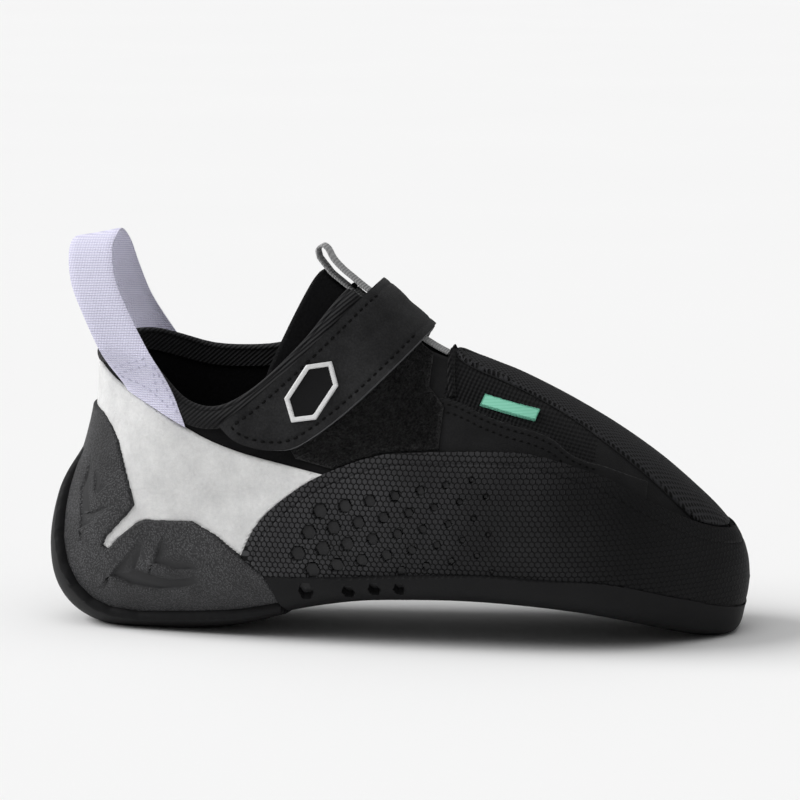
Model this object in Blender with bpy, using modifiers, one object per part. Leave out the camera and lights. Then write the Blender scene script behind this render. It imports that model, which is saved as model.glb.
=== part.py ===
"""A climbing shoe for the right foot, with one hook-and-loop strap over the instep.

+X runs from the heel to the toe, +Y to the medial side (big toe) and +Z up. The origin is on the floor,
in the middle of the flat spot under the heel. All sizes are in metres.
Every piece of the shell is cut between two offsets of one surface, the last, so pieces nest like real plies.
"""
import math

import bmesh
import bpy
import numpy as np
from mathutils import Matrix

# Driving dimensions of the last
LENGTH = 0.245
LAST_HEIGHT = 0.125
BALL_WIDTH = 0.082
HEEL_WIDTH = 0.060
TOE_INSET = 0.013

# Thickness of each ply
PLY_GAP = 0.0003
UPPER_WALL = 0.0018
COUNTER_PLY = 0.0013
RAND_PLY = 0.0020
SOLE_EDGE_PLY = 0.0024
SOLE_PLY = 0.0045
HEEL_CUP_PLY = 0.0024
HEEL_STRIP_PLY = 0.0018
TOE_PATCH_PLY = 0.0012
BINDING_PLY = 0.0009
LOOP_PATCH_PLY = 0.0013
LABEL_PLY = 0.0007
TONGUE_PLY = 0.0020
INSOLE_PLY = 0.0025
STRAP_PLY = 0.0020
STRAP_CREST = 0.0045
BADGE_PLY = 0.0006

# Webbing, openings and recesses
HEEL_LOOP_WIDTH = 0.0150
HEEL_LOOP_PLY = 0.0011
WEBBING_WIDTH = 0.0100
WEBBING_PLY = 0.0009
BINDING_WIDTH = 0.0064
THROAT_WIDTH = 0.0150
LASTING_MARGIN = 0.0090
HEX_PITCH = 0.0089
HEX_LARGEST = 0.0026
HEX_SHRINK = 0.0165
HEX_SMALLEST = 0.0019
HEX_DEPTH = 0.0008
BADGE_LENGTH = 0.0240
BADGE_WIDTH = 0.0130
FLOOR_TRIM = 0.0008

OVERLAY = UPPER_WALL + PLY_GAP
STACK = OVERLAY + SOLE_PLY - FLOOR_TRIM
HEEL_CENTRE = 0.148 * LENGTH
CUT_REACH = 0.5 * LENGTH

# One row for each section of the last, from above the collar, round the heel and along to the toe tip.
# back_x, back_z: where the section starts, on the back of the heel or the bottom.
# top_x, top_z: where it ends, on the front of the ankle or the instep ridge.
# Those four are shares of LENGTH and LAST_HEIGHT. lateral and medial are half-widths, as shares of the
# heel's width and, in front of the arch, of the ball's. widest is where the section is widest, as a share
# of the way up. low and high are how square it is below and above that. ridge and keel are the sideways
# shifts of its two ends, as shares of TOE_INSET.
SECTIONS = (
    # back_x back_z top_x top_z lateral medial widest low high keel ridge
    (0.092, 0.840, 0.335, 1.120, 0.440, 0.440, 0.46, 2.0, 2.1, 0.00, 0.20),
    (0.084, 0.700, 0.370, 1.000, 0.450, 0.450, 0.46, 2.0, 2.1, 0.00, 0.20),
    (0.081, 0.580, 0.396, 0.948, 0.460, 0.460, 0.45, 2.0, 2.1, 0.00, 0.20),
    (0.067, 0.458, 0.418, 0.912, 0.470, 0.470, 0.45, 2.1, 2.1, 0.00, 0.20),
    (0.047, 0.350, 0.438, 0.882, 0.480, 0.480, 0.44, 2.1, 2.1, 0.00, 0.20),
    (0.032, 0.250, 0.457, 0.856, 0.490, 0.490, 0.44, 2.1, 2.1, 0.00, 0.20),
    (0.027, 0.162, 0.475, 0.832, 0.500, 0.500, 0.43, 2.1, 2.1, 0.00, 0.20),
    (0.034, 0.082, 0.492, 0.808, 0.508, 0.505, 0.42, 2.1, 2.1, 0.00, 0.20),
    (0.058, 0.026, 0.510, 0.788, 0.516, 0.510, 0.41, 2.1, 2.1, 0.00, 0.20),
    (0.102, 0.000, 0.530, 0.764, 0.525, 0.515, 0.40, 2.2, 2.1, 0.00, 0.20),
    (0.184, 0.000, 0.552, 0.738, 0.545, 0.520, 0.38, 2.4, 2.1, 0.00, 0.20),
    (0.270, 0.020, 0.574, 0.716, 0.575, 0.525, 0.36, 2.8, 2.1, 0.00, 0.22),
    (0.360, 0.070, 0.598, 0.696, 0.605, 0.535, 0.34, 3.4, 2.1, 0.00, 0.26),
    (0.448, 0.102, 0.624, 0.680, 0.638, 0.560, 0.33, 3.6, 2.1, 0.00, 0.30),
    (0.530, 0.112, 0.656, 0.658, 0.662, 0.605, 0.33, 3.6, 2.1, 0.00, 0.34),
    (0.610, 0.114, 0.694, 0.622, 0.675, 0.655, 0.33, 3.6, 2.2, 0.05, 0.38),
    (0.692, 0.106, 0.742, 0.572, 0.668, 0.690, 0.34, 3.6, 2.2, 0.10, 0.42),
    (0.774, 0.086, 0.798, 0.506, 0.610, 0.700, 0.35, 3.5, 2.2, 0.25, 0.50),
    (0.846, 0.054, 0.856, 0.426, 0.475, 0.680, 0.36, 3.4, 2.2, 0.50, 0.60),
    (0.899, 0.022, 0.905, 0.344, 0.300, 0.620, 0.38, 3.2, 2.2, 0.75, 0.75),
    (0.937, 0.003, 0.941, 0.276, 0.135, 0.530, 0.41, 3.0, 2.2, 0.90, 0.90),
    (0.961, 0.004, 0.963, 0.218, 0.000, 0.440, 0.45, 2.8, 2.2, 1.00, 1.00),
    (0.973, 0.048, 0.974, 0.164, -0.110, 0.340, 0.50, 2.5, 2.2, 1.00, 1.00),
    (0.978, 0.104, 0.978, 0.106, -0.205, 0.227, 0.50, 2.2, 2.2, 1.00, 1.00),
)
FIRST_BALL_ROW = 13
BALL_TO_HEEL = 1.3667
STATIONS = 31
AROUND = 24

# Edges of the plies as the side view shows them. Each row is x, z, in shares of LENGTH and LAST_HEIGHT.
COLLAR_LATERAL = (
    (0.050, 0.735), (0.085, 0.745), (0.125, 0.745), (0.160, 0.715), (0.182, 0.672), (0.210, 0.618),
    (0.234, 0.594), (0.258, 0.588), (0.284, 0.602), (0.318, 0.644), (0.352, 0.704), (0.388, 0.780),
    (0.420, 0.866), (0.446, 0.930), (0.470, 1.000),
)
COLLAR_MEDIAL = (
    (0.050, 0.735), (0.085, 0.748), (0.125, 0.752), (0.165, 0.730), (0.210, 0.704), (0.262, 0.700),
    (0.310, 0.710), (0.350, 0.740), (0.388, 0.796), (0.420, 0.872), (0.446, 0.932), (0.470, 1.000),
)
TONGUE_EDGE = ((0.310, 0.560), (0.333, 0.700), (0.352, 0.786), (0.394, 0.974), (0.420, 1.100))
COUNTER_TOP = (
    (0.020, 0.706), (0.068, 0.700), (0.108, 0.658), (0.156, 0.610), (0.212, 0.548), (0.256, 0.504),
    (0.306, 0.470), (0.376, 0.438), (0.425, 0.418),
)
RAND_TOP = (
    (0.296, 0.170), (0.306, 0.220), (0.326, 0.290), (0.366, 0.362), (0.417, 0.424), (0.497, 0.480),
    (0.580, 0.494), (0.663, 0.497), (0.720, 0.484), (0.806, 0.424), (0.863, 0.356), (0.929, 0.280),
    (0.982, 0.238), (1.040, 0.205),
)
BAND_TOP = (
    (0.330, 0.136), (0.346, 0.144), (0.433, 0.150), (0.530, 0.164), (0.641, 0.172), (0.717, 0.164),
    (0.808, 0.152), (0.878, 0.112), (0.930, 0.076), (0.957, 0.054), (1.040, 0.010),
)
HEEL_CUP_EDGE = (
    (-0.060, 0.574), (0.067, 0.578), (0.093, 0.560), (0.109, 0.530), (0.121, 0.492), (0.130, 0.434),
    (0.139, 0.372), (0.147, 0.322), (0.137, 0.296), (0.118, 0.258), (0.103, 0.226), (0.097, 0.202),
    (0.104, 0.192), (0.122, 0.230), (0.148, 0.272), (0.162, 0.283), (0.230, 0.284), (0.263, 0.250),
    (0.302, 0.192), (0.335, 0.142), (0.347, 0.106), (0.358, 0.048), (0.362, -0.060), (-0.060, -0.060),
)
HEEL_STRIP_EDGE = (
    (-0.060, 0.440), (0.024, 0.420), (0.026, 0.350), (0.025, 0.288), (0.024, 0.205), (0.032, 0.135),
    (0.048, 0.076), (0.070, 0.034), (0.098, 0.010), (0.140, 0.002), (0.228, 0.014), (0.290, 0.026),
    (0.352, 0.050), (0.358, -0.060), (-0.060, -0.060),
)
# The toe patch in plan: x, y, in shares of LENGTH and BALL_WIDTH.
TOE_PATCH_PLAN = (
    (0.596, 0.030), (0.606, -0.050), (0.640, -0.105), (0.715, -0.130), (0.762, -0.150), (0.780, -0.205),
    (0.840, -0.220), (0.900, -0.190), (0.950, -0.100), (1.020, 0.000), (1.020, 0.260), (0.960, 0.330),
    (0.880, 0.345), (0.800, 0.315), (0.720, 0.260), (0.650, 0.190), (0.610, 0.110), (0.596, 0.030),
)
STRAP_LATERAL = (
    (0.269, 0.549), (0.290, 0.510), (0.317, 0.490), (0.346, 0.484), (0.382, 0.498), (0.445, 0.588),
    (0.518, 0.726), (0.590, 0.880), (0.530, 1.040), (0.443, 0.858), (0.363, 0.702), (0.308, 0.605),
)
STRAP_MEDIAL = (
    (0.400, 0.470), (0.458, 0.470), (0.500, 0.640), (0.540, 0.780), (0.590, 0.880), (0.530, 1.040),
    (0.443, 0.858), (0.400, 0.700),
)
LOOP_PATCH = (
    (0.432, 0.436), (0.497, 0.486), (0.578, 0.500), (0.580, 0.608), (0.556, 0.656), (0.556, 0.730),
    (0.520, 0.790), (0.470, 0.800), (0.420, 0.740), (0.372, 0.640), (0.350, 0.540), (0.376, 0.462),
)
LABEL = ((0.634, 0.640), (0.628, 0.604), (0.711, 0.560), (0.715, 0.588))

# Paths of the two webbings: the points of the middle line and, in the last three columns, the direction
# across the webbing. x is a share of LENGTH, y of HEEL_WIDTH and z of LAST_HEIGHT.
HEEL_LOOP = (
    # x      y      z      across_x across_y across_z
    (0.175, -0.585, 0.560, 0.86, -0.06, -0.50),
    (0.150, -0.585, 0.648, 0.88, -0.03, -0.46),
    (0.124, -0.560, 0.735, 0.92, 0.00, -0.38),
    (0.092, -0.450, 0.840, 0.96, 0.06, -0.26),
    (0.072, -0.310, 0.930, 0.98, 0.12, -0.10),
    (0.064, -0.150, 1.010, 0.97, 0.20, 0.10),
    (0.072, 0.010, 1.042, 0.96, 0.22, 0.18),
    (0.086, 0.160, 1.010, 0.98, 0.16, 0.02),
    (0.098, 0.290, 0.940, 0.97, 0.10, -0.20),
    (0.112, 0.400, 0.850, 0.94, 0.04, -0.34),
    (0.128, 0.490, 0.765, 0.93, 0.02, -0.38),
    (0.150, 0.560, 0.670, 0.92, 0.03, -0.40),
    (0.168, 0.578, 0.600, 0.92, 0.05, -0.40),
)
WEBBING_LOOP = (
    # x and z of the loop, from the tongue's edge, round the top and back down on the ridge
    (0.386, 0.984), (0.384, 1.006), (0.390, 1.018), (0.398, 1.008), (0.406, 0.980), (0.419, 0.953),
    (0.432, 0.932),
)
RUBBER = (0.030, 0.030, 0.032)
SOFT_BLACK = (0.010, 0.010, 0.011)
OFF_WHITE = (0.72, 0.72, 0.71)
LILAC = (0.50, 0.48, 0.72)
MINT = (0.22, 0.55, 0.42)


def clear_scene():
    for obj in list(bpy.data.objects):
        bpy.data.objects.remove(obj)


def new_collection(name):
    collection = bpy.data.collections.new(name)
    bpy.context.scene.collection.children.link(collection)
    return collection


def material(name, colour, roughness, metallic=0.0):
    made = bpy.data.materials.new(name)
    made.use_nodes = True
    shader = made.node_tree.nodes["Principled BSDF"]
    shader.inputs["Base Color"].default_value = (*colour, 1.0)
    shader.inputs["Roughness"].default_value = roughness
    shader.inputs["Metallic"].default_value = metallic
    return made


def spline(points, samples):
    """Catmull-Rom through the rows of points, read at samples, which count rows."""
    points = np.asarray(points, float)
    padded = np.vstack([2 * points[0] - points[1], points, 2 * points[-1] - points[-2]])
    index = np.clip(np.floor(samples).astype(int), 0, len(points) - 2)
    t = (samples - index)[:, None]
    a, b, c, d = (padded[index + k] for k in range(4))
    curve = (2 * b + (c - a) * t + (2 * a - 5 * b + 4 * c - d) * t**2
             + (3 * b - a - 3 * c + d) * t**3)
    return 0.5 * curve


def section_sizes():
    """The sections' rows in metres: back_x, back_z, top_x, top_z, lateral, medial, widest, low, high, keel, ridge."""
    rows = np.array(SECTIONS)
    width = np.where(np.arange(len(rows)) < FIRST_BALL_ROW, HEEL_WIDTH, BALL_WIDTH / BALL_TO_HEEL)
    rows[:, [0, 2]] *= LENGTH
    rows[:, [1, 3]] = STACK + rows[:, [1, 3]] * LAST_HEIGHT
    rows[:, 4] *= -width
    rows[:, 5] *= width
    rows[:, [9, 10]] *= TOE_INSET
    return rows


def last_grid(stations, around):
    """Points of the last's surface, stations x around, from the bottom's middle up the lateral side and back."""
    rows = section_sizes()
    read = spline(rows, np.linspace(0, len(rows) - 1, stations))
    back_x, back_z, top_x, top_z, lateral, medial, widest, low, high, keel, ridge = (
        read[:, k:k + 1] for k in range(read.shape[1]))
    turn = 2 * math.pi * np.arange(around)[None, :] / around
    angle = np.where(turn <= math.pi, turn, 2 * math.pi - turn)
    reach = np.where(turn <= math.pi, lateral, medial)
    below = angle <= math.pi / 2
    power = 2 / np.where(below, low, high)
    sine = np.abs(np.sin(angle)) ** power
    cosine = np.abs(np.cos(angle)) ** power
    up = np.where(below, widest * (1 - cosine), widest + (1 - widest) * cosine)
    middle = np.where(below, keel, ridge)
    y = middle + (reach - middle) * sine
    x = back_x + (top_x - back_x) * up
    z = back_z + (top_z - back_z) * up
    return np.stack([x, y, z], axis=-1)


def grid_normals(points):
    """Outward unit normals of a grid that closes round its second axis."""
    along = np.gradient(points, axis=0)
    across = np.roll(points, -1, axis=1) - np.roll(points, 1, axis=1)
    normals = np.cross(along, across)
    normals[-1] = (1, 0, 0)
    return normals / np.maximum(np.linalg.norm(normals, axis=-1, keepdims=True), 1e-12)


def eased(share):
    return share * share * (3 - 2 * share)


def mesh_object(name, points, faces, collection):
    mesh = bpy.data.meshes.new(name)
    mesh.from_pydata([tuple(p) for p in points], [], faces)
    mesh.update()
    obj = bpy.data.objects.new(name, mesh)
    collection.objects.link(obj)
    return obj


def make_cutter(obj):
    obj.hide_render = True
    obj.display_type = "WIRE"
    return obj


def form(name, side, bottom=None, crest=0.0):
    """A closed form of the last, grown by side, by bottom where it faces down, and by crest more at the top."""
    points = last_grid(STATIONS, AROUND)
    normals = grid_normals(points)
    bottom = side if bottom is None else bottom
    down = np.clip((-normals[..., 2:] - 0.25) / 0.6, 0, 1)
    climb = np.clip((points[..., 2:] - STACK - 0.70 * LAST_HEIGHT) / (0.16 * LAST_HEIGHT), 0, 1)
    grown = points + normals * (side + (bottom - side) * eased(down) + crest * eased(climb))
    grown[-1] = grown[-1].mean(axis=0)
    flat = grown[:-1].reshape(-1, 3)
    tip = len(flat)
    faces = []
    for i in range(STATIONS - 2):
        for j in range(AROUND):
            k = (j + 1) % AROUND
            faces.append((i * AROUND + j, i * AROUND + k, (i + 1) * AROUND + k, (i + 1) * AROUND + j))
    last_ring = (STATIONS - 2) * AROUND
    faces += [(last_ring + j, last_ring + (j + 1) % AROUND, tip) for j in range(AROUND)]
    faces.append(tuple(reversed(range(AROUND))))
    obj = mesh_object(name, np.vstack([flat, grown[-1][:1]]), faces, FORMS)
    face_outward(obj)
    return make_cutter(obj)


def face_outward(obj):
    cage = bmesh.new()
    cage.from_mesh(obj.data)
    bmesh.ops.triangulate(cage, faces=cage.faces)
    bmesh.ops.recalc_face_normals(cage, faces=cage.faces)
    cage.to_mesh(obj.data)
    cage.free()


def smooth_outline(points, per_span):
    """The corners of an outline, with per_span points along each span of a smooth curve through them."""
    count = (len(points) - 1) * per_span + 1
    return spline(np.array(points), np.linspace(0, len(points) - 1, count))


def side_outline(shares, per_span=2):
    """A side view's outline in metres, from shares of LENGTH and LAST_HEIGHT."""
    outline = smooth_outline(shares, per_span) if per_span else np.array(shares)
    return outline * (LENGTH, LAST_HEIGHT) + (0, STACK)


def prism(name, outline, low, high, axis="y"):
    """A flat outline drawn out from low to high along y, or along z for a plan view's outline."""
    lift = (lambda a, b, c: (a, c, b)) if axis == "y" else (lambda a, b, c: (a, b, c))
    count = len(outline)
    points = [lift(a, b, low) for a, b in outline] + [lift(a, b, high) for a, b in outline]
    faces = [tuple(range(count)), tuple(reversed(range(count, 2 * count)))]
    faces += [(i, (i + 1) % count, (i + 1) % count + count, i + count) for i in range(count)]
    obj = mesh_object(name, points, faces, FORMS)
    face_outward(obj)
    return make_cutter(obj)


def below_line(name, shares, low=-CUT_REACH, high=CUT_REACH, drop=0.0, floor=-0.5):
    """A prism of all that lies below a side view's line, moved down by drop."""
    line = side_outline(shares) - (0, drop)
    ends = [(line[-1][0], floor * LAST_HEIGHT), (line[0][0], floor * LAST_HEIGHT)]
    return prism(name, np.vstack([line, ends]), low, high)


def inset(outline, distance):
    """A closed outline moved in by distance, or out where distance is negative."""
    outline = np.asarray(outline)
    ahead = np.roll(outline, -1, axis=0) - outline
    ahead /= np.linalg.norm(ahead, axis=1, keepdims=True)
    behind = np.roll(ahead, 1, axis=0)
    area = np.sum(outline[:, 0] * np.roll(outline[:, 1], -1) - np.roll(outline[:, 0], -1) * outline[:, 1])
    normal = np.stack([-(ahead + behind)[:, 1], (ahead + behind)[:, 0]], axis=1)
    normal /= np.linalg.norm(normal, axis=1, keepdims=True)
    return outline + normal * distance * (1 if area > 0 else -1)


def cut(obj, cutter, operation):
    """Applies a Boolean of the cutter to obj."""
    modifier = obj.modifiers.new(operation.title(), "BOOLEAN")
    modifier.operation = operation
    modifier.object = cutter
    graph = bpy.context.evaluated_depsgraph_get()
    mesh = bpy.data.meshes.new_from_object(obj.evaluated_get(graph))
    obj.modifiers.clear()
    old = obj.data
    obj.data = mesh
    bpy.data.meshes.remove(old)
    return obj


def ply(name, inner, outer, look, keep=(), remove=(), bottom=None, crest=0.0):
    """A shell between two offsets of the last, kept inside the keep cutters and cleared of the remove cutters.

    inner and outer are offsets. bottom, where given, is the outer offset of what faces
    down, and crest lifts both faces off the instep."""
    obj = form(name, outer, bottom, crest)
    FORMS.objects.unlink(obj)
    SHOE.objects.link(obj)
    obj.hide_render = False
    obj.display_type = "TEXTURED"
    cut(obj, form(name + "_inside", inner, crest=crest), "DIFFERENCE")
    for cutter in keep:
        cut(obj, cutter, "INTERSECT")
    for cutter in remove:
        cut(obj, cutter, "DIFFERENCE")
    return finish(obj, look)


def finish(obj, look):
    obj.data.materials.clear()
    obj.data.materials.append(look)
    obj.data.shade_smooth()
    obj.data.set_sharp_from_angle(angle=math.radians(35))
    return obj


def floor_cutter():
    """What lies under the floor, to grind the rest flats on the heel and the toe."""
    reach = 2 * LENGTH
    return prism("floor", [(-reach, -reach), (reach, -reach), (reach, 0), (-reach, 0)], -reach, reach)


def collar_cutter(name, drop=0.0):
    """All that lies above the collar, with its own line on each side of the foot, moved down by drop."""
    made = []
    for side, line, low, high in (("lateral", COLLAR_LATERAL, -CUT_REACH, 0.0),
                                  ("medial", COLLAR_MEDIAL, 0.0, CUT_REACH)):
        edge = side_outline(line)
        edge = edge + outward_of_line(edge) * -drop
        over = 1.6 * LAST_HEIGHT
        ends = [(edge[-1][0], over), (-0.2 * LENGTH, over), (-0.2 * LENGTH, edge[0][1])]
        made.append(prism(f"{name}_{side}", np.vstack([edge, ends]), low, high))
    return cut(made[0], made[1], "UNION")


def outward_of_line(line):
    """Unit normals to the left of a line that runs from heel to toe, which is up."""
    along = np.gradient(line, axis=0)
    normal = np.stack([-along[:, 1], along[:, 0]], axis=1)
    return normal / np.linalg.norm(normal, axis=1, keepdims=True)


def throat_cutter():
    """The slit along the instep ridge, in plan, that the tongue shows through."""
    half = THROAT_WIDTH / 2
    ridge = 0.24 * TOE_INSET
    front, back = 0.590 * LENGTH, 0.40 * LENGTH
    turn = np.linspace(-math.pi / 2, math.pi / 2, 9)
    nose = [(front - half + half * math.cos(a), ridge + half * math.sin(a)) for a in turn]
    return prism("throat", nose + [(back, ridge + half), (back, ridge - half)],
                 0.5 * LAST_HEIGHT, 1.6 * LAST_HEIGHT, "z")


def bottom_opening():
    """The hole in the upper's bottom, inside the lasting margin, in plan."""
    points = last_grid(STATIONS, AROUND)
    corner = AROUND // 8
    lateral = points[:, corner, :2] + (0, LASTING_MARGIN)
    medial = points[:, -corner, :2] - (0, LASTING_MARGIN)
    under = points[:, corner, 2] < STACK + 0.13 * LAST_HEIGHT
    inside = (lateral[:, 0] > HEEL_CENTRE - LASTING_MARGIN) & (lateral[:, 0] < LENGTH - 2 * LASTING_MARGIN)
    kept = under & inside & (medial[:, 1] - lateral[:, 1] > LASTING_MARGIN / 2)
    outline = np.vstack([lateral[kept], medial[kept][::-1]])
    return prism("bottom_opening", outline, -CUT_REACH, STACK + 0.17 * LAST_HEIGHT, "z")


def hexagon(centre, radius, turn=0.0):
    angles = [turn + math.pi / 3 * k for k in range(6)]
    return [(centre[0] + radius * math.cos(a), centre[1] + radius * math.sin(a)) for a in angles]


def hex_recesses():
    """The hexagons of the rand's lateral side, on a slanting lattice, smaller towards the toe."""
    row_step = np.array((0.985, 0.17)) * HEX_PITCH
    column_step = np.array((0.54, -0.66)) * HEX_PITCH
    start = np.array((0.417 * LENGTH, STACK + 0.328 * LAST_HEIGHT))
    band_top = side_outline(BAND_TOP)
    rand_top = side_outline(RAND_TOP)
    outlines = []
    for down in range(5):
        for along in range(-2, 9):
            centre = start + along * row_step + down * column_step
            radius = HEX_LARGEST - HEX_SHRINK * (centre[0] - 0.38 * LENGTH)
            low = np.interp(centre[0], band_top[:, 0], band_top[:, 1]) + radius
            high = np.interp(centre[0], rand_top[:, 0], rand_top[:, 1]) - 2 * radius
            if radius >= HEX_SMALLEST and low < centre[1] < high and centre[0] > 0.37 * LENGTH:
                outlines.append(hexagon(centre, radius))
    return outlines


def joined(name, pieces):
    """The pieces' meshes in one object, for pieces that don't touch."""
    cage = bmesh.new()
    for piece in pieces:
        cage.from_mesh(piece.data)
    mesh = bpy.data.meshes.new(name)
    cage.to_mesh(mesh)
    cage.free()
    for piece in pieces:
        bpy.data.objects.remove(piece)
    obj = bpy.data.objects.new(name, mesh)
    FORMS.objects.link(obj)
    return make_cutter(obj)


def make_upper(look):
    """The knit and microfibre upper: one hollow wall, open at the collar, along the throat and underneath."""
    return ply("upper", 0.0, UPPER_WALL, look,
               remove=[collar_cutter("collar"), throat_cutter(), bottom_opening()])


def make_collar_binding(look):
    """The textile binding sewn round the collar."""
    return ply("collar_binding", OVERLAY, OVERLAY + BINDING_PLY, look,
               keep=[collar_cutter("binding_below", BINDING_WIDTH)],
               remove=[collar_cutter("binding_above"), throat_cutter()])


def make_tongue(look):
    """The stretch tongue under the throat, up to its own top edge."""
    edge = side_outline(TONGUE_EDGE)
    front = [(0.640 * LENGTH, edge[-1][1]), (0.640 * LENGTH, STACK + 0.600 * LAST_HEIGHT),
             (0.500 * LENGTH, STACK + 0.560 * LAST_HEIGHT)]
    keep = prism("tongue_edge", np.vstack([edge, front]), -CUT_REACH, CUT_REACH)
    return ply("tongue", -PLY_GAP - TONGUE_PLY, -PLY_GAP, look, keep=[keep])


def make_insole(look):
    """The thin board inside, on the bottom of the last."""
    rows = section_sizes()
    bottom = rows[8:-2, :2]
    line = spline(bottom, np.linspace(0, len(bottom) - 1, 2 * len(bottom)))
    line[:, 1] += 0.036 * LAST_HEIGHT
    ends = [(line[-1][0], -LAST_HEIGHT), (line[0][0], -LAST_HEIGHT)]
    keep = prism("insole_edge", np.vstack([line, ends]), -CUT_REACH, CUT_REACH)
    return ply("insole", -PLY_GAP - INSOLE_PLY, -PLY_GAP, look, keep=[keep])


def heel_cup_prism(name, grow=0.0):
    outline = side_outline(HEEL_CUP_EDGE, 0)
    return prism(name, inset(outline, -grow) if grow else outline, -CUT_REACH, CUT_REACH)


def make_heel_cup(look):
    """The moulded rubber cup, with one prong up the back of the heel and one forward along its side."""
    return ply("heel_cup", OVERLAY, OVERLAY + HEEL_CUP_PLY, look, keep=[heel_cup_prism("heel_cup_edge")])


def make_heel_strip(look):
    """The tread strip that runs from the back of the heel cup round under the heel."""
    base = OVERLAY + HEEL_CUP_PLY + PLY_GAP
    keep = prism("heel_strip_edge", side_outline(HEEL_STRIP_EDGE, 0), -CUT_REACH, CUT_REACH)
    return ply("heel_strip", base, base + HEEL_STRIP_PLY, look, keep=[keep], remove=[floor_cutter()])


def make_counter(look):
    """The white tension rand round the heel, between the cup, the collar and the side rand."""
    return ply("heel_counter", OVERLAY, OVERLAY + COUNTER_PLY, look,
               keep=[below_line("counter_top", COUNTER_TOP)],
               remove=[heel_cup_prism("counter_round_cup", PLY_GAP), rand_prism("counter_behind_rand", PLY_GAP),
                       collar_cutter("counter_collar", BINDING_WIDTH + PLY_GAP)])


def rand_prism(name, grow=0.0):
    """All that lies under the rand's upper edge, in front of the heel."""
    line = side_outline(RAND_TOP)
    ends = [(line[-1][0], -LAST_HEIGHT), (line[0][0], -LAST_HEIGHT)]
    outline = np.vstack([line, ends])
    return prism(name, inset(outline, -grow) if grow else outline, -CUT_REACH, CUT_REACH)


def make_rand(look):
    """The textured rubber rand round the arch, sides and toe, with hexagonal recesses on its lateral side."""
    obj = ply("side_rand", OVERLAY, OVERLAY + RAND_PLY, look, keep=[rand_prism("rand_edge")],
              remove=[heel_cup_prism("rand_round_cup", PLY_GAP),
                      below_line("rand_above_band", BAND_TOP, drop=-PLY_GAP)])
    recesses = form("recesses", OVERLAY + 2 * RAND_PLY)
    cut(recesses, form("recess_floor", OVERLAY + RAND_PLY - HEX_DEPTH), "DIFFERENCE")
    holes = [prism("hexagon", outline, -CUT_REACH, 0.0) for outline in hex_recesses()]
    cut(recesses, joined("hexagons", holes), "INTERSECT")
    cut(obj, recesses, "DIFFERENCE")
    return finish(obj, look)


def make_outsole(look):
    """The sole from the heel to the toe, turned up round the sides as a smooth band."""
    return ply("outsole", OVERLAY, OVERLAY + SOLE_EDGE_PLY, look, bottom=OVERLAY + SOLE_PLY,
               keep=[below_line("band_edge", BAND_TOP)],
               remove=[heel_cup_prism("sole_behind_cup", PLY_GAP), floor_cutter()])


def toe_patch_prism(name, grow=0.0):
    outline = smooth_outline(TOE_PATCH_PLAN, 2)[:-1] * (LENGTH, BALL_WIDTH)
    return prism(name, inset(outline, -grow) if grow else outline, STACK + 0.1 * LAST_HEIGHT,
                 1.5 * LAST_HEIGHT, "z")


def make_toe_patch(look):
    """The thin rubber patch over the toes, for toe hooks."""
    return ply("toe_patch", OVERLAY, OVERLAY + TOE_PATCH_PLY, look, keep=[toe_patch_prism("toe_patch_edge")],
               remove=[rand_prism("patch_behind_rand", PLY_GAP)])


def strap_base():
    return OVERLAY + LOOP_PATCH_PLY + PLY_GAP


def make_strap(look):
    """The closure strap, from the medial side over the instep down to the lateral side."""
    halves = [prism("strap_half", side_outline(STRAP_LATERAL, 0), -CUT_REACH, 0.0),
              prism("strap_half", side_outline(STRAP_MEDIAL, 0), 0.0, CUT_REACH)]
    base = strap_base()
    keep = cut(halves[0], halves[1], "UNION")
    return ply("strap", base, base + STRAP_PLY, look, keep=[keep], crest=STRAP_CREST)


def make_loop_patch(look):
    """The fuzzy half of the fastener, on the lateral quarter under the strap."""
    keep = prism("loop_patch_edge", side_outline(LOOP_PATCH, 0), -CUT_REACH, 0.0)
    return ply("loop_patch", OVERLAY, OVERLAY + LOOP_PATCH_PLY, look, keep=[keep],
               remove=[below_line("patch_above_rand", RAND_TOP, drop=-PLY_GAP),
                       collar_cutter("patch_collar", BINDING_WIDTH + PLY_GAP), throat_cutter()])


def make_label(look):
    """The small sewn label above the seam of the vamp, left plain."""
    keep = prism("label_edge", side_outline(LABEL, 0), -CUT_REACH, 0.0)
    return ply("label", OVERLAY, OVERLAY + LABEL_PLY, look, keep=[keep],
               remove=[toe_patch_prism("label_beside_patch", PLY_GAP)])


def make_badge(look):
    """A plain six-sided badge on the strap."""
    base = strap_base() + STRAP_PLY + PLY_GAP
    centre = (0.397 * LENGTH, STACK + 0.643 * LAST_HEIGHT)
    lean = math.radians(58)
    half_length, half_width = BADGE_LENGTH / 2, BADGE_WIDTH / 2
    corners = [(half_length, 0), (0.55 * half_length, half_width), (-0.55 * half_length, half_width),
               (-half_length, 0), (-0.55 * half_length, -half_width), (0.55 * half_length, -half_width)]
    outline = [(centre[0] + a * math.cos(lean) - b * math.sin(lean),
                centre[1] + a * math.sin(lean) + b * math.cos(lean)) for a, b in corners]
    keep = prism("badge_edge", outline, -CUT_REACH, 0.0)
    return ply("strap_badge", base, base + BADGE_PLY, look, keep=[keep], crest=STRAP_CREST)


def webbing_points(path, across, width, columns=3):
    """Rows of points across a flat webbing, centred on path, with its width along across."""
    across = across / np.linalg.norm(across, axis=1, keepdims=True)
    spread = np.linspace(-0.5, 0.5, columns) * width
    return path[:, None, :] + across[:, None, :] * spread[None, :, None]


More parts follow.
